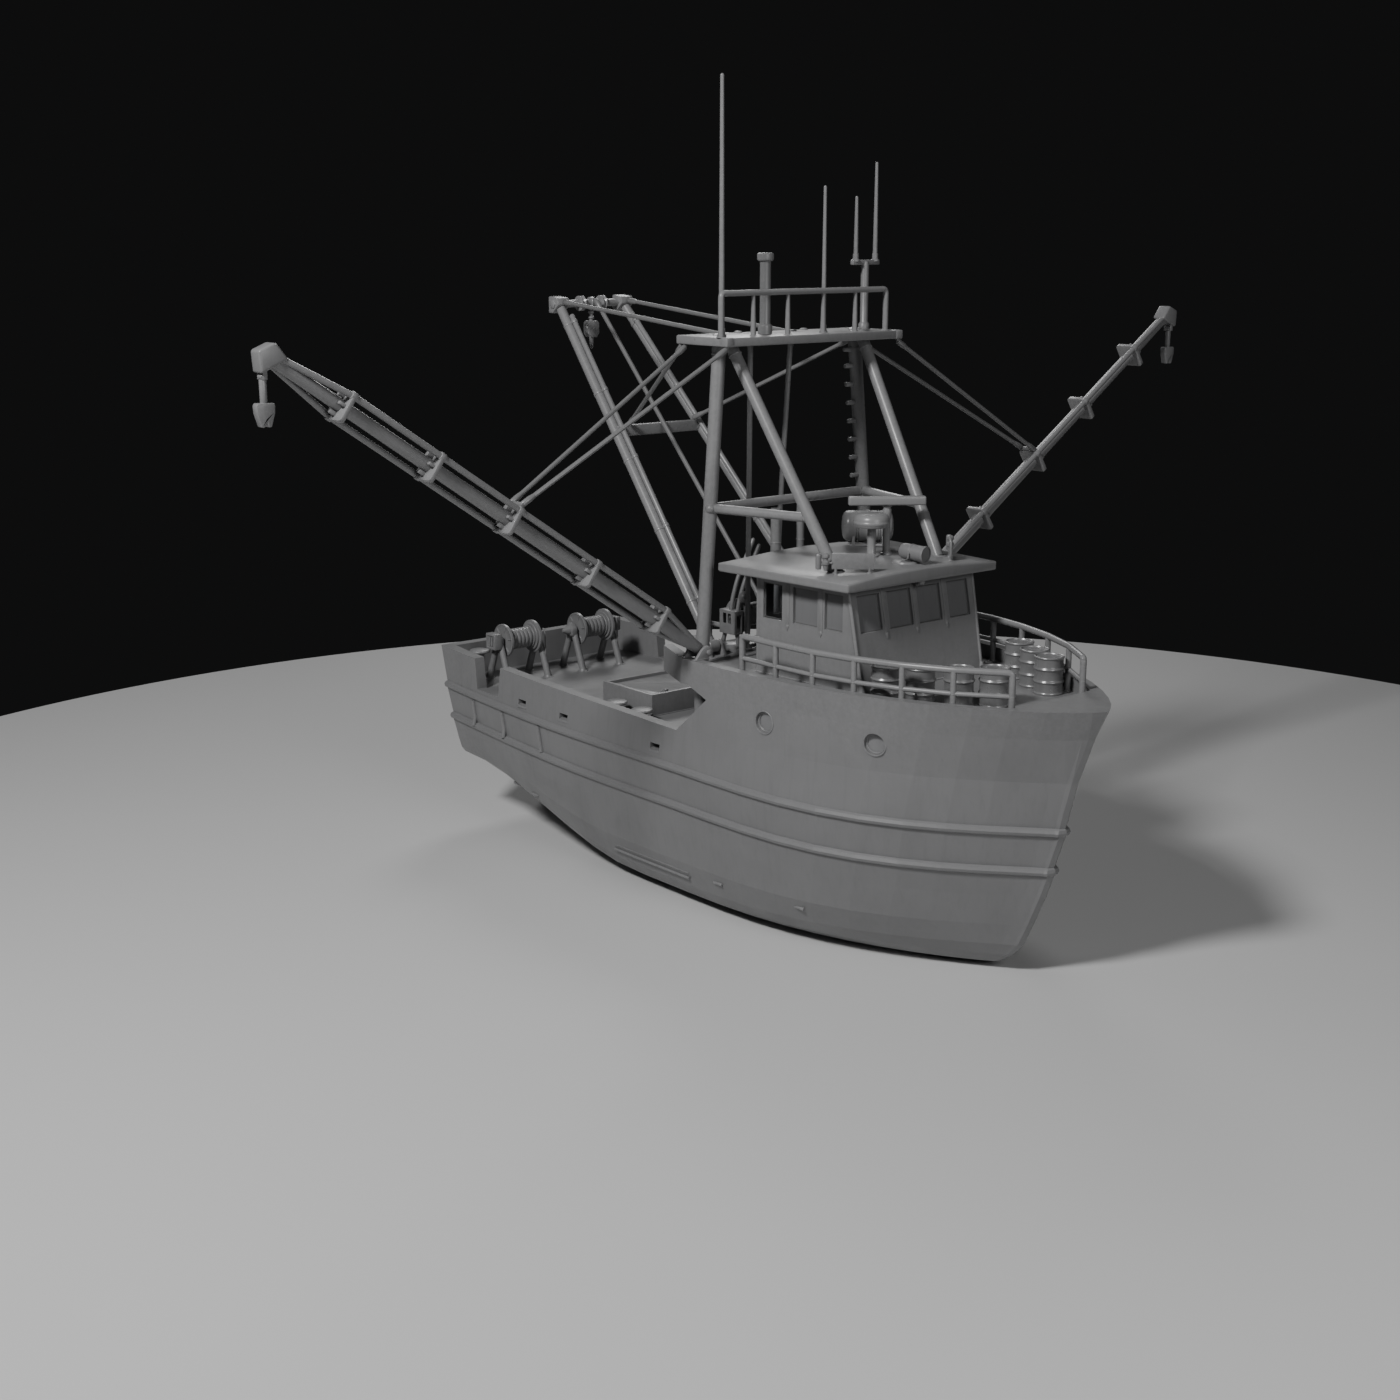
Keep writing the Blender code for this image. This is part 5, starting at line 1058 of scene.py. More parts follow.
def searchlight():
    x, y = 4.28, 0.18
    foot = roof_top(y)
    parts = [lathe([(0.0, 0.055), (0.24, 0.05), (0.31, 0.035), (0.33, 0.0)], (x, y, foot), steps=40)]
    parts.append(rod((x, y, foot), (x, y, 6.72), 0.075, sides=28))
    start, end = Vector((4.14, 0.15, 6.89)), Vector((4.83, 0.27, 6.85))
    length = (end - start).length
    body = [(0.0, 0.0), (0.1, 0.01), (0.15, 0.035), (0.18, 0.09), (0.185, 0.3), (0.195, 0.31), (0.195, 0.34), (0.185, 0.35), (0.185, length - 0.06), (0.195, length - 0.05), (0.195, length), (0.175, length), (0.17, length - 0.03), (0.0, length - 0.05)]
    parts.append(lathe(body, start, end - start, 36))
    across = Vector((0, 0, 1)).cross(end - start).normalized()
    middle = start.lerp(end, 0.5)
    yoke = [middle + across * 0.19, middle + across * 0.22 - Vector((0, 0, 0.12)), Vector((x, y, 6.66)) + across * 0.08, Vector((x, y, 6.66)) - across * 0.08, middle - across * 0.22 - Vector((0, 0, 0.12)), middle - across * 0.19]
    parts.append(pipe(yoke, 0.018, 0.06))
    parts += [rod(middle + across * 0.15 * sign, middle + across * 0.225 * sign, 0.035, sides=18, edge=0.006) for sign in (1, -1)]
    done(join("searchlight_lamp", parts), GEAR, stands_for=("searchlight",))


def sidelights():
    """Screen boards on two legs, each with its lantern and battery case outboard."""
    for name, side in SIDES:
        near, far = Vector((4.02, side * 1.93, 0)), Vector((4.68, side * 1.25, 0))
        run = (far - near).normalized()
        across = Vector((-run.y, run.x, 0)) * 0.024
        corners = [near - across, far - across, far + across, near + across]
        parts = [plate([(p.x, p.y) for p in corners], 6.66, 7.02, "XY", 0.01)]
        for share in (0.1, 0.9):
            foot = near.lerp(far, share)
            parts.append(rod((foot.x, foot.y, roof_top(foot.y)), (foot.x, foot.y, 6.7), 0.032, sides=16))
            collar = [(0.0, 0.014), (0.06, 0.012), (0.065, 0.0)]
            parts.append(lathe(collar, (foot.x, foot.y, roof_top(foot.y)), steps=18))
        lamp = near + Vector((-0.09, side * 0.1, 0))
        lantern = [
            (0.0, 7.02), (0.05, 7.015), (0.08, 6.99), (0.09, 6.95), (0.085, 6.92), (0.06, 6.9), (0.058, 6.86),
            (0.085, 6.84), (0.095, 6.8), (0.085, 6.76), (0.06, 6.74), (0.058, 6.68), (0.04, 6.62), (0.0, 6.62),
        ]
        parts.append(lathe(lantern, (lamp.x, lamp.y, 0), steps=28))
        parts.append(rod((lamp.x, lamp.y, 6.8), (near.x + 0.03, near.y, 6.8), 0.025, sides=14))
        case = lamp + Vector((-0.13, side * 0.1, 0))
        body = [(0.0, 7.01), (0.045, 7.005), (0.066, 6.98), (0.07, 6.95), (0.07, 6.68), (0.06, 6.65), (0.0, 6.64)]
        parts.append(lathe(body, (case.x, case.y, 0), steps=24))
        parts.append(rod((case.x, case.y, 6.76), (lamp.x, lamp.y, 6.76), 0.03, sides=14))
        done(join("sidelight_board_" + name, parts), GEAR, stands_for=("sidelight_" + name,))


# Aft boom

def boom_point(share, side=1):
    point = BOOM_FOOT.lerp(BOOM_HEAD, share)
    return Vector((point.x, side * point.y, point.z))


def boom():
    """The A-frame: legs, clipped pipes, heel gussets, crossbar, head bar with its sheaves and wedge blocks."""
    up = Vector((0.74, 0, 0.67)) * 0.148
    half = [rod(boom_point(0.008), boom_point(1.0), 0.128, sides=32)]
    inward = Vector((0, -0.1, 0))
    low, high = boom_point(0.1) + up * 1.15 + inward, boom_point(0.95) + up * 1.15 + inward
    half.append(rod(low, high, 0.07, sides=20, edge=0.012))
    run = (boom_point(1) - boom_point(0)).normalized()
    for share in (0.12, 0.32, 0.52, 0.72, 0.93):
        middle = boom_point(share)
        clip = middle + up * 1.15 + inward
        half.append(rod(middle, clip, 0.04, sides=14))
        half.append(rod(clip - run * 0.05, clip + run * 0.05, 0.086, sides=20, edge=0.012))
        half.append(rod(middle - run * 0.04, middle + run * 0.04, 0.14, sides=32, edge=0.008))
    foot = boom_point(0.0)
    rise = Vector((-run.z, 0, run.x)).normalized() * -1
    fin = [foot + run * reach + rise * height for reach, height in ((0.12, 0.08), (0.5, 0.08), (0.5, 0.3), (0.4, 0.27))]
    half.append(plate([(p.x, p.z) for p in fin], foot.y - 0.02, foot.y + 0.02, "XZ", 0.008))
    head = boom_point(1.0)
    wedge = [(-0.2, -0.24), (-0.02, -0.24), (0.24, -0.02), (0.2, 0.16), (-0.2, 0.2)]
    half.append(plate([(head.x + x, head.z + z) for x, z in wedge], head.y - 0.2, head.y + 0.2, "XZ", 0.035))
    half.append(lathe([(0.0, 0.245), (0.09, 0.24), (0.12, 0.22), (0.12, 0.19)], head, (0, 1, 0), 6))
    sheave = [
        (0.1, 0.07), (0.17, 0.07), (0.2, 0.06), (0.2, 0.045), (0.15, 0.0), (0.2, -0.045), (0.2, -0.06), (0.17, -0.07),
        (0.1, -0.07),
    ]
    half.append(lathe(sheave, (head.x, 0.35, head.z), (0, 1, 0), 36))
    cross = boom_point(BOOM_CROSS_AT)
    half.append(ring(cross + Vector((0, -0.13, 0)), (0, 1, 0), 0.12, 0.02, 24, 8))
    eye = [(0.066, 0.15), (0.15, 0.15), (0.16, 0.14), (0.16, -0.14), (0.15, -0.15), (0.066, -0.15)]
    half.append(lathe(eye, foot, (0, 1, 0), 32))
    both = half + [other_side(part) for part in half]
    both.append(rod((head.x, -head.y, head.z), (head.x, head.y, head.z), 0.0985, sides=32))
    both.append(block((cross.x - 0.1, -cross.y, cross.z - 0.14), (cross.x + 0.1, cross.y, cross.z + 0.14), 0.03, 3))
    done(join("boom_frame", both), RIG, "aft_boom_body", ("aft_boom",))


def boom_feet():
    for name, side in SIDES:
        foot = boom_point(0.0, side)
        parts = [block((foot.x - 0.36, foot.y - 0.3, RAISED_DECK_Z), (foot.x + 0.36, foot.y + 0.3, RAISED_DECK_Z + 0.03), 0.008)]
        for low, high in ((0.18, 0.26), (-0.26, -0.18)):
            outline = [(foot.x - 0.3, RAISED_DECK_Z), (foot.x + 0.3, RAISED_DECK_Z)]
            outline += [(foot.x + 0.14 * math.cos(a), foot.z + 0.14 * math.sin(a)) for a in [math.pi * step / 10 for step in range(11)]]
            parts.append(plate(outline, foot.y + low, foot.y + high, "XZ", 0.01))
        parts.append(rod((foot.x, foot.y - 0.28, foot.z), (foot.x, foot.y + 0.28, foot.z), 0.06, sides=24, edge=0.008))
        parts.append(lathe([(0.0, 0.3), (0.05, 0.3), (0.085, 0.285), (0.085, 0.262)], foot, (0, side, 0), 6))
        for x in (-0.29, 0.29):
            parts += [rod((foot.x + x, foot.y + y, RAISED_DECK_Z + 0.02), (foot.x + x, foot.y + y, RAISED_DECK_Z + 0.05), 0.018, sides=6) for y in (-0.14, 0.14)]
        done(join("boom_shoe_" + name, parts), RIG, stands_for=("boom_foot_" + name,))


def hanging_block():
    """The block under the head bar: collar, ringed stem, cheeks and hook shank."""
    x, z = BOOM_HEAD.x, BOOM_HEAD.z
    parts = [lathe([(0.1012, 0.06), (0.15, 0.06), (0.16, 0.05), (0.16, -0.05), (0.15, -0.06), (0.1012, -0.06)], (x, 0, z), (0, 1, 0), 36)]
    stem = [(0.06, -0.13), (0.055, -0.2), (0.085, -0.22), (0.085, -0.26), (0.055, -0.28), (0.055, -0.34), (0.085, -0.36), (0.085, -0.4), (0.055, -0.42), (0.055, -0.5)]
    parts.append(lathe([(r, z + h) for r, h in stem], (x, 0, 0), steps=28))
    cheek = [(-0.18, z - 0.52), (-0.12, z - 0.46), (0.12, z - 0.46), (0.18, z - 0.52), (0.18, z - 0.8), (0.1, z - 0.9), (-0.1, z - 0.9), (-0.18, z - 0.8)]
    for low, high in ((-0.12, -0.07), (0.07, 0.12)):
        parts.append(plate(cheek, x + low, x + high, "YZ", 0.012))
    parts.append(lathe([(0.0, 0.065), (0.15, 0.065), (0.16, 0.05), (0.12, 0.0), (0.16, -0.05), (0.15, -0.065), (0.0, -0.065)], (x, 0, z - 0.68), (1, 0, 0), 32))
    parts.append(rod((x - 0.14, 0, z - 0.68), (x + 0.14, 0, z - 0.68), 0.04, sides=20, edge=0.008))
    parts.append(rod((x, 0, z - 0.86), (x, 0, z - 1.1), 0.07, 0.055, sides=24, edge=0.01))
    parts.append(ring((x, 0, z - 1.14), (0, 1, 0), 0.05, 0.018, 24, 10))
    done(join("hoisting_block", parts), RIG, "boom_block_body", ("boom_block",))


# Standing wires

def wire(start, end, radius):
    """A straight wire in two dozen lengths, with an eye splice at each end."""
    start, end = Vector(start), Vector(end)
    line = pipe([start.lerp(end, step / 24) for step in range(25)], radius, smooth=3)
    run = (end - start).normalized()
    thick = radius * 1.35
    splice = [(radius, 0.0), (thick, 0.03), (thick, 0.22), (radius * 1.02, 0.36)]
    return [line, lathe(splice, start, run, 20), lathe(splice, end, -run, 20)]


def stays():
    """Wires from the platform to the boom and to the outriggers."""
    aft_x, low_z = PLATFORM_LOW[0], PLATFORM_LOW[2]
    for name, side in SIDES:
        head = boom_point(1.0, side) + Vector((0.29, 0, 0.05))
        end = Vector((aft_x - 0.006, side * 1.06, 11.58))
        piece = join("head_wire_" + name, wire(end, head, 0.055))
        done(piece, WIRE, "aft_boom_body", ("head_stay_" + name,), stretch=(end, head))
        cross = boom_point(BOOM_CROSS_AT, side)
        start = Vector((cross.x + 0.15, side * (abs(cross.y) - 0.35), cross.z + 0.2))
        corner = Vector((aft_x + 0.08, side * 2.75, low_z - 0.08))
        parts = wire(corner, start, 0.052) + [rod(corner, (corner.x, corner.y, low_z), 0.05, sides=16)]
        piece = join("cross_wire_" + name, parts)
        done(piece, WIRE, "aft_boom_body", ("cross_stay_" + name,), stretch=(corner, start))
        eye = outrigger_point(SPREADERS[2], side) + outrigger_up(side) * 0.386
        parts = [rod(eye - Vector((0.26, 0, 0)), eye + Vector((0.26, 0, 0)), 0.055, sides=18, edge=0.01)]
        corners = []
        for reach, x in ((0.2, PLATFORM_HIGH[0] - 0.1), (-0.2, aft_x + 0.24)):
            corner = Vector((x, side * 2.75, low_z - 0.06))
            corners.append(corner)
            parts += wire(corner, eye + Vector((reach, 0, 0)), 0.052)
            parts.append(rod(corner, (corner.x, corner.y, low_z), 0.05, sides=16))
        piece = join("topping_wires_" + name, parts)
        middle = (corners[0] + corners[1]) / 2
        done(piece, WIRE, f"outrigger_{name}_body", ("topping_stays_" + name,), stretch=(middle, eye))


def falls():
    """The boom's hauling wire from its head to the deck winch, and two pipes from the platform down to the winch."""
    low = Vector((-0.46, 0.0, 5.0))
    high = Vector((BOOM_HEAD.x + 0.2, 0.0, BOOM_HEAD.z + 0.1))
    piece = join("hauling_wire", wire(low, high, 0.06))
    done(piece, WIRE, "aft_boom_body", stretch=(low, high))
    under = PLATFORM_LOW[2]
    bed = RAISED_DECK_Z + 0.12
    parts = [
        pipe([(0.02, -0.88, under + 0.02), (0.06, -0.93, 8.0), (0.17, -1.06, bed)], 0.065, 0.8, smooth=4),
        pipe([(0.02, 0.41, under + 0.02), (0.04, 0.13, 7.85), (0.17, -0.16, bed)], 0.065, 0.8, smooth=4),
    ]
    for x, y in ((0.02, -0.88), (0.02, 0.41)):
        parts.append(lathe([(0.0, 0.0), (0.12, 0.0), (0.12, -0.02), (0.075, -0.05), (0.066, -0.16)], (x, y, under), steps=24))
    for y in (-1.06, -0.16):
        parts.append(lathe([(0.066, 0.14), (0.075, 0.04), (0.12, 0.02), (0.12, 0.0)], (0.17, y, bed), steps=24))
    done(join("hydraulic_pipes", parts), RIG)


# Outriggers

def outrigger_point(distance, side=1):
    out = HEEL.y + distance * math.cos(OUTRIGGER_ANGLE)
    return Vector((HEEL.x, side * out, HEEL.z + distance * math.sin(OUTRIGGER_ANGLE)))


def outrigger_up(side=1):
    return Vector((0, -side * math.sin(OUTRIGGER_ANGLE), math.cos(OUTRIGGER_ANGLE)))


def spreader():
    """One spreader plate: square with rounded corners, guide blocks on its outboard face, in XY at the origin."""
    half, bend = 0.33, 0.1
    square = [Vector((x * half, y * half, 0)) for x, y in ((1, 1), (-1, 1), (-1, -1), (1, -1))]
    outline = [(p.x, p.y) for p in rounded(square, bend, 4, closed=True)]
    parts = [plate(outline, -0.048, 0.048, "XY", 0.018)]
    for angle in (0.0, math.pi / 2, math.pi, -math.pi / 2):
        guide = block((0.155, -0.035, 0.0), (0.25, 0.035, 0.2), 0.014)
        guide.data.transform(Matrix.Rotation(angle, 4, "Z"))
        parts.append(guide)
    for sign in (1, -1):
        parts.append(rod((sign * 0.25, sign * 0.25, -0.07), (sign * 0.25, sign * 0.25, 0.07), 0.092, sides=24, edge=0.014))
    return join("spreader", parts)


def outriggers():
    """Poles stiffened by two rods over spreader plates, with their tip blocks, weights and heels."""
    fore = Vector((1, 0, 0))
    pattern = spreader()
    for name, side in SIDES:
        up = outrigger_up(side)
        pin = outrigger_point(0, side)
        run = (outrigger_point(1, side) - pin).normalized()
        profile = [
            (0.0, 0.08), (0.11, 0.08), (0.14, 0.14), (0.148, 0.35), (0.172, 0.7), (0.17, 4.0), (0.152, 8.0),
            (0.132, OUTRIGGER_LENGTH - 0.1), (0.0, OUTRIGGER_LENGTH - 0.1),
        ]
        parts = [lathe(profile, pin, run, 36)]
        eye = [(0.056, 0.14), (0.12, 0.14), (0.13, 0.13), (0.13, -0.13), (0.12, -0.14), (0.056, -0.14)]
        parts.append(lathe(eye, pin, fore, 32))
        for distance in SPREADERS:
            middle = outrigger_point(distance, side)
            rows = [(1, up.x, run.x, middle.x), (0, up.y, run.y, middle.y), (0, up.z, run.z, middle.z), (0, 0, 0, 1)]
            parts.append(copied(pattern, Matrix(rows)))
        for sign in (1, -1):
            offset = (fore + up) * sign
            path = [outrigger_point(0.35, side) + offset * 0.06]
            path += [outrigger_point(distance, side) + offset * 0.25 for distance in SPREADERS]
            path.append(outrigger_point(OUTRIGGER_LENGTH - 0.1, side) + offset * 0.075)
            parts.append(pipe(path, 0.07, smooth=4))
        tip = outrigger_point(OUTRIGGER_LENGTH, side)
        parts += tip_block(tip, side)
        done(join("outrigger_pole_" + name, parts), RIG, f"outrigger_{name}_body", ("outrigger_" + name,))
        hanging_weight(name, tip, side)
        heel_bracket(name, side)
    bpy.data.objects.remove(pattern)


def tip_block(tip, side):
    """The block at an outrigger's tip, wider below, with the hinge cheeks of the weight."""
    tilt = math.radians(-22)
    outline = []
    for out, rise in ((0.34, -0.22), (-0.33, -0.22), (-0.2, 0.21), (0.2, 0.21)):
        turned_out = out * math.cos(tilt) - rise * math.sin(tilt)
        outline.append((tip.y + side * turned_out, tip.z + out * math.sin(tilt) + rise * math.cos(tilt)))
    parts = [plate(outline, HEEL.x - 0.19, HEEL.x + 0.19, "YZ", 0.0)]
    soften(parts[0], 0.06, 5)
    hang = Vector((HEEL.x, tip.y + 0.12 * side, tip.z - 0.39))
    lug = [(-0.05, hang.z - 0.05), (0.05, hang.z - 0.05), (0.05, tip.z - 0.1), (-0.05, tip.z - 0.1)]
    for low in (-0.12, 0.085):
        parts.append(plate([(hang.y + y, z) for y, z in lug], HEEL.x + low, HEEL.x + low + 0.035, "YZ", 0.008))
    parts.append(rod(hang - Vector((0.115, 0, 0)), hang + Vector((0.115, 0, 0)), 0.03, sides=20, edge=0.006))
    return parts


def hanging_weight(name, tip, side):
    """A bar with a tapered fin under each outrigger's tip, grooved at its foot."""
    hang = Vector((HEEL.x, tip.y + 0.12 * side, tip.z - 0.39))
    parts = [rod(hang - Vector((0, 0, 0.05)), hang - Vector((0, 0, 0.6)), 0.075, 0.07, sides=24, edge=0.01)]
    eye = [(0.0312, 0.075), (0.062, 0.075), (0.07, 0.065), (0.07, -0.065), (0.062, -0.075), (0.0312, -0.075)]
    parts.append(lathe(eye, hang, (1, 0, 0), 28))
    drop = hang.z - 0.5
    fin = [
        (-0.18, 0.0), (0.18, 0.0), (0.2, -0.05), (0.19, -0.2), (0.11, -0.46), (0.03, -0.46), (0.0, -0.38), (-0.03, -0.46),
        (-0.11, -0.46), (-0.19, -0.2), (-0.2, -0.05),
    ]
    parts.append(plate([(hang.y + y, drop + z) for y, z in fin], HEEL.x - 0.1, HEEL.x + 0.1, "YZ", 0.028))
    body = f"outrigger_weight_{name}_body"
    done(join("trim_weight_" + name, parts), RIG, body, ("outrigger_weight_" + name,))


def heel_bracket(name, side):
    """Cheeks, pin and foot plate at an outrigger's heel."""
    pin = Vector((HEEL.x, side * HEEL.y, HEEL.z))
    parts = []
    shape = ((0.03, RIM_Z), (0.4, RIM_Z), (0.2, pin.z + 0.08), (0.12, pin.z + 0.14), (0.0, pin.z + 0.16), (-0.09, pin.z + 0.12), (-0.14, pin.z + 0.02), (-0.11, pin.z - 0.08), (-0.02, pin.z - 0.1))
    for low, high in ((-0.26, -0.17), (0.17, 0.26)):
        parts.append(plate([(pin.y + side * out, rise) for out, rise in shape], pin.x + low, pin.x + high, "YZ", 0.014))
        parts.append(block((pin.x + low - 0.02, pin.y + min(side * 0.0, side * 0.44), RIM_Z), (pin.x + high + 0.02, pin.y + max(side * 0.0, side * 0.44), RIM_Z + 0.025), 0.006))
    parts.append(rod((pin.x - 0.3, pin.y, pin.z), (pin.x + 0.3, pin.y, pin.z), 0.05, sides=24, edge=0.008))
    for sign in (1, -1):
        parts.append(lathe([(0.0, 0.31), (0.05, 0.31), (0.08, 0.295), (0.08, 0.262)], pin, (sign, 0, 0), 6))
    done(join("heel_cheeks_" + name, parts), RIG, stands_for=("heel_bracket_" + name,))


# Winches

def rope_drum(centre, length, flange, barrel, turns, bore, collars=0):
    """A winch drum about Y: dished flanges with ribs, a barrel of laid rope, and collars stepped inside one end."""
    half, thick = length / 2, 0.085
    profile = [
        (bore, half), (barrel * 0.8, half), (barrel, half - 0.01), (flange - 0.05, half - 0.015), (flange - 0.02, half),
        (flange, half - 0.01), (flange, half - thick + 0.01), (flange - 0.02, half - thick), (barrel, half - thick),
    ]
    other_end = [(radius, -height) for radius, height in reversed(profile)]
    room = half - thick
    for index in range(collars):
        radius = flange - 0.07 * (index + 1)
        profile[-1:] = [(radius - 0.01, room), (radius, room - 0.01), (radius, room - 0.05), (radius - 0.012, room - 0.06), (barrel, room - 0.06)]
        room -= 0.06
    pitch = (room + half - thick) / turns
    for index in range(turns):
        top = room - index * pitch
        for step in range(1, 7):
            angle = math.pi * step / 7
            profile.append((barrel + 0.035 * math.sin(angle), top - pitch * (0.5 - 0.48 * math.cos(angle))))
    parts = [lathe(profile + other_end, centre, (0, 1, 0), 40)]
    for sign in (1, -1):
        for index in range(6):
            angle = math.tau * index / 6 + 0.2
            direction = Vector((math.cos(angle), 0, math.sin(angle)))
            face = Vector(centre) + Vector((0, sign * (half - 0.006), 0))
            parts.append(rod(face + direction * barrel * 0.95, face + direction * (flange - 0.05), 0.016, sides=10))
    return parts


def stern_winches():
    """Two rope winches on stout A-legs, one with a gear case, one with a pointed bearing head."""
    x, z, deck = STERN_WINCH_X, STERN_WINCH_Z, MAIN_DECK_Z
    for name, flanges, stands in STERN_WINCHES:
        low, high = stands
        parts = [rod((x, low - 0.06, z), (x, high + 0.06, z), 0.0595, sides=24)]
        for y in stands:
            for foot_x in (-0.49, 0.49):
                parts.append(rod((x + foot_x, y, deck), (x + foot_x * 0.14, y, z - 0.05), 0.1, 0.088, sides=24))
                parts.append(lathe([(0.1, 0.05), (0.115, 0.02), (0.15, 0.015), (0.155, 0.0)], (x + foot_x, y, deck), steps=24))
            hub = [(0.0, 0.1), (0.1, 0.1), (0.13, 0.085), (0.145, 0.06), (0.145, -0.06), (0.13, -0.085), (0.1, -0.1), (0.0, -0.1)]
            parts.append(lathe(hub, (x, y, z), (0, 1, 0), 32))
        if name == "1":
            box_y = low - 0.04
            case = block((x - 0.22, box_y - 0.24, z - 0.2), (x + 0.22, box_y, z + 0.24), 0.0)
            pressed(case, (0, -1, 0), 0.06, 0.03)
            parts.append(soften(case, 0.016, 2))
            for bar_x in (-0.05, 0.05):
                parts.append(rod((x + bar_x, box_y - 0.225, z - 0.1), (x + bar_x, box_y - 0.225, z + 0.14), 0.024, sides=14))
        else:
            head = [(-0.19, -0.16), (0.19, -0.16), (0.19, 0.05), (0.0, 0.22), (-0.19, 0.05)]
            parts.append(plate([(x + a, z + b) for a, b in head], low - 0.14, low + 0.06, "XZ", 0.04))
            cone = [(0.0, 0.34), (0.045, 0.335), (0.06, 0.31), (0.08, 0.28), (0.13, 0.16), (0.15, 0.13), (0.15, 0.1)]
            parts.append(lathe(cone, (x, low, z), (0, -1, 0), 32))
            parts.append(block((x - 0.18, high + 0.04, z - 0.2), (x + 0.18, high + 0.28, z + 0.2), 0.03, 3))
        lever = [
            (x + 0.1, high, z + 0.1), (x + 0.25, high + 0.04, z + 0.25), (x + 0.32, high + 0.04, z + 0.1),
            (x + 0.34, high + 0.02, deck + 0.02),
        ]
        parts.append(pipe(lever, 0.018, 0.08))
        piece = join("stern_winch_stand_" + name, parts)
        done(piece, GEAR, stands_for=("stern_winch_frame_" + name,))
        middle = (flanges[0] + flanges[1]) / 2
        length = flanges[1] - flanges[0] + 0.05
        drum = join("stern_rope_drum_" + name, rope_drum((x, middle, z), length, 0.46, 0.26, 6, 0.0625, 2))
        done(drum, GEAR, f"stern_winch_drum_{name}_body", ("stern_winch_drum_" + name,))


def pressed(piece, facing, inset, depth):
    """Sinks the middle of a box's face by a depth, a border's width in from its edges."""
    only(piece)
    bpy.ops.object.mode_set(mode="EDIT")
    bpy.ops.mesh.select_mode(type="FACE")
    bpy.ops.mesh.select_all(action="DESELECT")
    bpy.ops.object.mode_set(mode="OBJECT")
    for face in piece.data.polygons:
        face.select = face.normal.dot(Vector(facing)) > 0.9
    bpy.ops.object.mode_set(mode="EDIT")
    bpy.ops.mesh.inset(thickness=inset, depth=0)
    bpy.ops.mesh.extrude_region_move(TRANSFORM_OT_translate={"value": Vector(facing) * -depth})
    bpy.ops.object.mode_set(mode="OBJECT")
    return piece


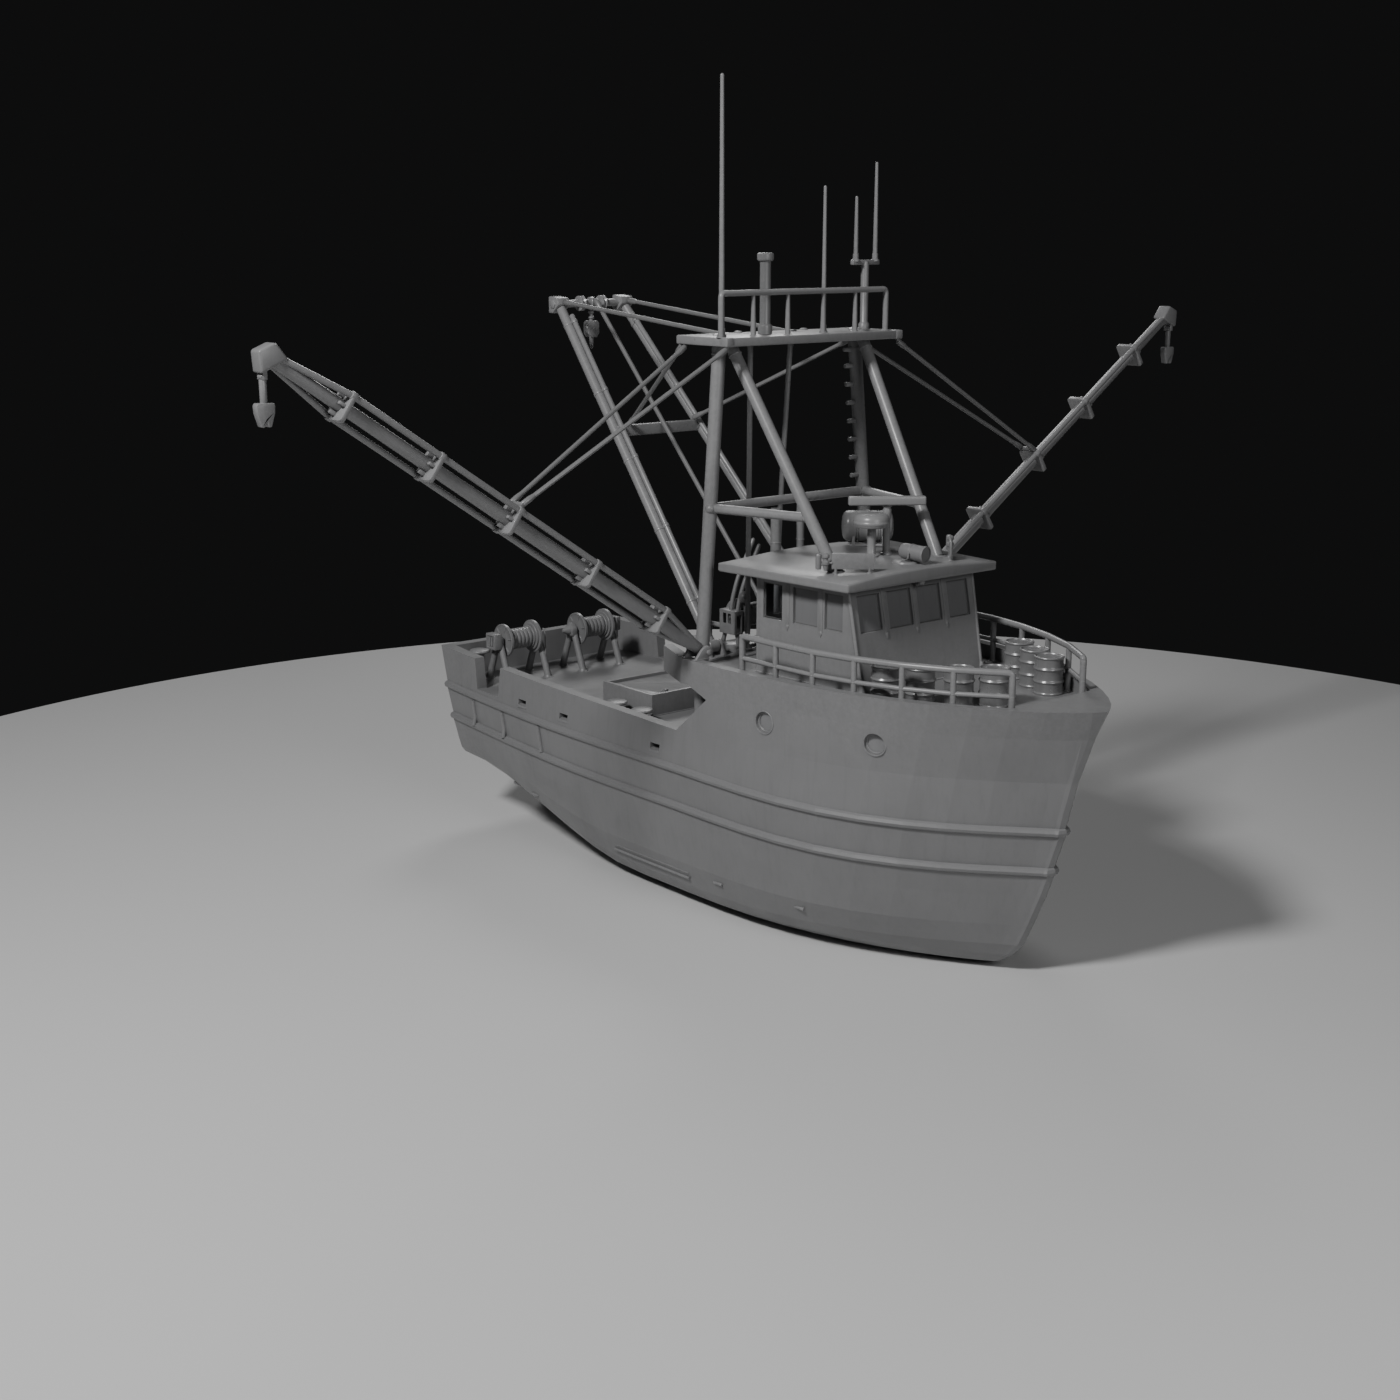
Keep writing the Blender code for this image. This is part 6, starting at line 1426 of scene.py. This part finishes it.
def deck_winch():
    """The winch between the boom legs: stepped bed, windowed gear housing, levers, guard hoop and float."""
    x, z, deck = DECK_WINCH_X, DECK_WINCH_Z, RAISED_DECK_Z
    bed = deck + 0.18
    parts = [
        block((x - 0.35, -1.3, deck), (x + 0.4, 0.7, bed), 0.02),
        block((x + 0.3, -1.285, deck), (x + 0.6, 0.685, deck + 0.12), 0.02),
        block((x + 0.5, -1.27, deck), (x + 0.8, 0.67, deck + 0.06), 0.02),
        rod((x, -1.24, z), (x, 0.58, z), 0.0595, sides=24),
    ]
    left, right, foot, top = x - 0.27, x + 0.3, z - 0.4, z + 0.18
    outline = [(left, foot), (right, foot), (right, top - 0.03), (right - 0.03, top), (left + 0.03, top), (left, top - 0.03)]
    slots = []
    for a, b in ((left + 0.13, left + 0.25), (left + 0.31, left + 0.42)):
        slots.append([(a, top - 0.32), (b, top - 0.32), (b, top - 0.07), (a, top - 0.07)])
    parts.append(plate(outline, -1.28, -1.245, "XZ", 0.006, slots))
    parts.append(plate(outline, -1.035, -1.0, "XZ", 0.006))
    front = [(-1.27, foot), (-1.01, foot), (-1.01, top), (-1.27, top)]
    door = [(-1.2, foot + 0.04), (-1.06, foot + 0.04), (-1.06, top - 0.1), (-1.2, top - 0.1)]
    parts.append(plate(front, right - 0.035, right + 0.003, "YZ", 0.006, [door]))
    parts.append(plate(front, left - 0.003, left + 0.035, "YZ", 0.006))
    parts.append(block((left - 0.004, -1.284, top - 0.03), (right + 0.004, -0.996, top + 0.01), 0.012))
    parts.append(lathe([(0.0, 0.05), (0.16, 0.05), (0.19, 0.03), (0.2, 0.0)], (x + 0.02, -1.06, z - 0.12), (0, -1, 0), 28))
    for foot_x, lean in ((left + 0.07, -0.1), (right - 0.07, 0.06)):
        parts.append(rod((foot_x + lean, -1.14, bed - 0.01), (foot_x, -1.14, foot + 0.02), 0.06, 0.052, sides=18))
    port = [(x - 0.3, bed), (x + 0.33, bed), (x + 0.29, z + 0.1), (x + 0.2, z + 0.22), (x - 0.18, z + 0.22), (x - 0.27, z + 0.1)]
    opening = [(x - 0.17, bed + 0.12), (x + 0.2, bed + 0.12), (x + 0.18, z - 0.16), (x - 0.16, z - 0.16)]
    parts.append(plate(port, 0.455, 0.545, "XZ", 0.012, [opening]))
    parts.append(lathe([(0.0, 0.09), (0.09, 0.09), (0.12, 0.075), (0.13, 0.05), (0.13, 0.03)], (x, 0.5, z), (0, 1, 0), 30))
    parts += bolts((x, 0.55, z), (0, 1, 0), 0.18, 6, 0.014)
    for step, fall in ((0.0, 0.0), (0.22, -0.12)):
        lever = [(-1.14, top - 0.02), (-1.06, z + 0.55), (-0.9, z + 1.0), (-0.43, z + 1.84)]
        parts.append(pipe([(x + step, y, height + fall) for y, height in lever], 0.055, 0.3, smooth=4))
        parts.append(ball((x + step, -0.43, z + 1.84 + fall), (0.055,) * 3, 18))
    hoop = [(left + 0.02, -1.16, z - 0.26), (x - 0.78, -1.16, z - 0.26), (x - 0.78, -1.16, deck)]
    parts.append(pipe(hoop, 0.06, 0.12, smooth=4))
    parts.append(ball((0.02, -1.02, 5.32), (0.15,) * 3, 28))
    for y in (-0.95, 0.35):
        parts.append(pipe([(x + 0.44, y, deck + 0.1), (x + 0.5, y, z - 0.1), (x + 0.47, y, z + 0.2)], 0.02, 0.1))
        parts.append(ball((x + 0.47, y, z + 0.22), (0.034,) * 3, 16))
    done(join("deck_winch_bed", parts), GEAR, stands_for=("deck_winch_frame",))
    drum = join("deck_rope_drum", rope_drum((x, -0.31, z), 1.3, 0.43, 0.25, 9, 0.0625, 1))
    done(drum, GEAR, "deck_winch_drum_body", ("deck_winch_drum",))


# Hatch, exhausts and pillars

def hatch():
    """The coaming with its rounded lip, dogs on its far side and the cover recessed in it."""
    eased("hatch_coaming", "hatch_coaming_steel", GEAR, 0.014)
    eased("hatch_cover", "hatch_cover_steel", GEAR, 0.008, "hatch_cover_body")
    low, high = Vector(HATCH_LOW), Vector(HATCH_HIGH)
    corners = [(low.x, low.y), (high.x, low.y), (high.x, high.y), (low.x, high.y)]
    parts = [pipe([(x, y, 1.79) for x, y in corners], 0.018, 0.03, closed=True)]
    for y in (-1.0, 0.0, 1.0):
        parts.append(block((low.x - 0.04, y - 0.02, 1.8), (low.x + 0.01, y + 0.02, 2.3), 0.008))
        parts.append(rod((low.x - 0.1, y, 2.2), (low.x, y, 2.2), 0.018, sides=14))
        parts.append(rod((low.x - 0.1, y - 0.06, 2.2), (low.x - 0.1, y + 0.06, 2.2), 0.013, sides=12, edge=0.004))
    done(join("hatch_dogs", parts), GEAR)


def exhausts():
    """Two pipes with lagging bands, cowls and their straps."""
    parts = []
    deck = RAISED_DECK_Z
    for y, radius, top in ((-0.54, 0.125, 7.54), (0.27, 0.095, 7.55)):
        profile = [(radius - 0.02, top), (radius, top - 0.005), (radius, deck + 0.06), (radius + 0.05, deck + 0.05), (radius + 0.06, deck)]
        parts.append(lathe([(0.0, top - 0.3), (radius - 0.02, top - 0.3)] + profile, (0.6, y, 0), steps=32))
        for z in (4.3, 5.1, 5.9, 6.7, 7.3):
            parts.append(ring((0.6, y, z), (0, 0, 1), radius, 0.014, 32, 8))
    for z in (4.6, 6.2):
        parts.append(block((0.57, -0.54, z), (0.63, 0.27, z + 0.08), 0.01))
    done(join("exhaust_pipes", parts), GEAR, stands_for=("exhaust_stacks",))


def pillars():
    for name, side in SIDES:
        y = side * LEG_FOOT.y
        parts = [rod((0.52, y, MAIN_DECK_Z), (0.52, y, 3.65), 0.164, sides=32)]
        parts.append(lathe([(0.0, 0.03), (0.2, 0.03), (0.24, 0.02), (0.245, 0.0)], (0.52, y, MAIN_DECK_Z), steps=32))
        parts.append(lathe([(0.165, -0.08), (0.2, -0.02), (0.21, 0.0)], (0.52, y, 3.65), steps=32))
        parts.append(rod((0.49, y - side * 0.3, MAIN_DECK_Z), (0.49, y - side * 0.3, 3.65), 0.05, sides=18))
        done(join("pillar_" + name, parts), RIG, stands_for=("deck_pillar_" + name,))


# Floor, light and camera

def studio():
    """A pale floor under the keel, soft lights and the photograph's camera."""
    keel = cad_box[0][2]
    bpy.ops.mesh.primitive_circle_add(vertices=160, radius=31.5, fill_type="NGON", location=(0, 1, keel - 0.002))
    floor = settle(bpy.context.object)
    floor.name = "studio_floor"
    matt = bpy.data.materials.new("pale floor")
    matt.use_nodes = True
    shader = matt.node_tree.nodes["Principled BSDF"]
    shader.inputs["Base Color"].default_value = (0.6, 0.6, 0.6, 1)
    shader.inputs["Roughness"].default_value = 0.9
    floor.data.materials.append(matt)
    world = bpy.data.worlds.new("studio")
    bpy.context.scene.world = world
    world.use_nodes = True
    sky = world.node_tree.nodes["Background"]
    sky.inputs["Color"].default_value = (0.86, 0.87, 0.88, 1)
    sky.inputs["Strength"].default_value = 0.008
    for name, place, size, power in (
        ("key", (9, -42, 41), 9, 25500), ("fill", (42, -8, 22), 20, 4200), ("back", (-34, 26, 34), 16, 5200),
    ):
        light = bpy.data.lights.new(name, "AREA")
        light.shape = "DISK"
        light.size = size
        light.energy = power
        lamp = bpy.data.objects.new(name, light)
        bpy.context.scene.collection.objects.link(lamp)
        lamp.location = place
        lamp.rotation_euler = (Vector((0, 0, 3)) - Vector(place)).to_track_quat("-Z", "Y").to_euler()
    camera = bpy.data.cameras.new("camera")
    camera.angle = math.radians(40)
    camera.clip_end = 600
    eye = bpy.data.objects.new("camera", camera)
    bpy.context.scene.collection.objects.link(eye)
    eye.location = (34.872, -31.5, 14.1)
    eye.rotation_euler = (math.radians(76.205), 0, math.radians(50.178))
    bpy.context.scene.camera = eye


studio()
hull_materials()
rail_strips()
portholes()
freeing_ports()
bulwark_brackets()
deck_mushrooms()
under_deck_doors()
underwater_fittings()
propeller()
rudder_ribs()
house()
foredeck_rails()
drums()
mast()
platform()
radar()
dome()
liferaft()
searchlight()
sidelights()
boom()
boom_feet()
hanging_block()
stays()
falls()
outriggers()
stern_winches()
deck_winch()
hatch()
exhausts()
pillars()
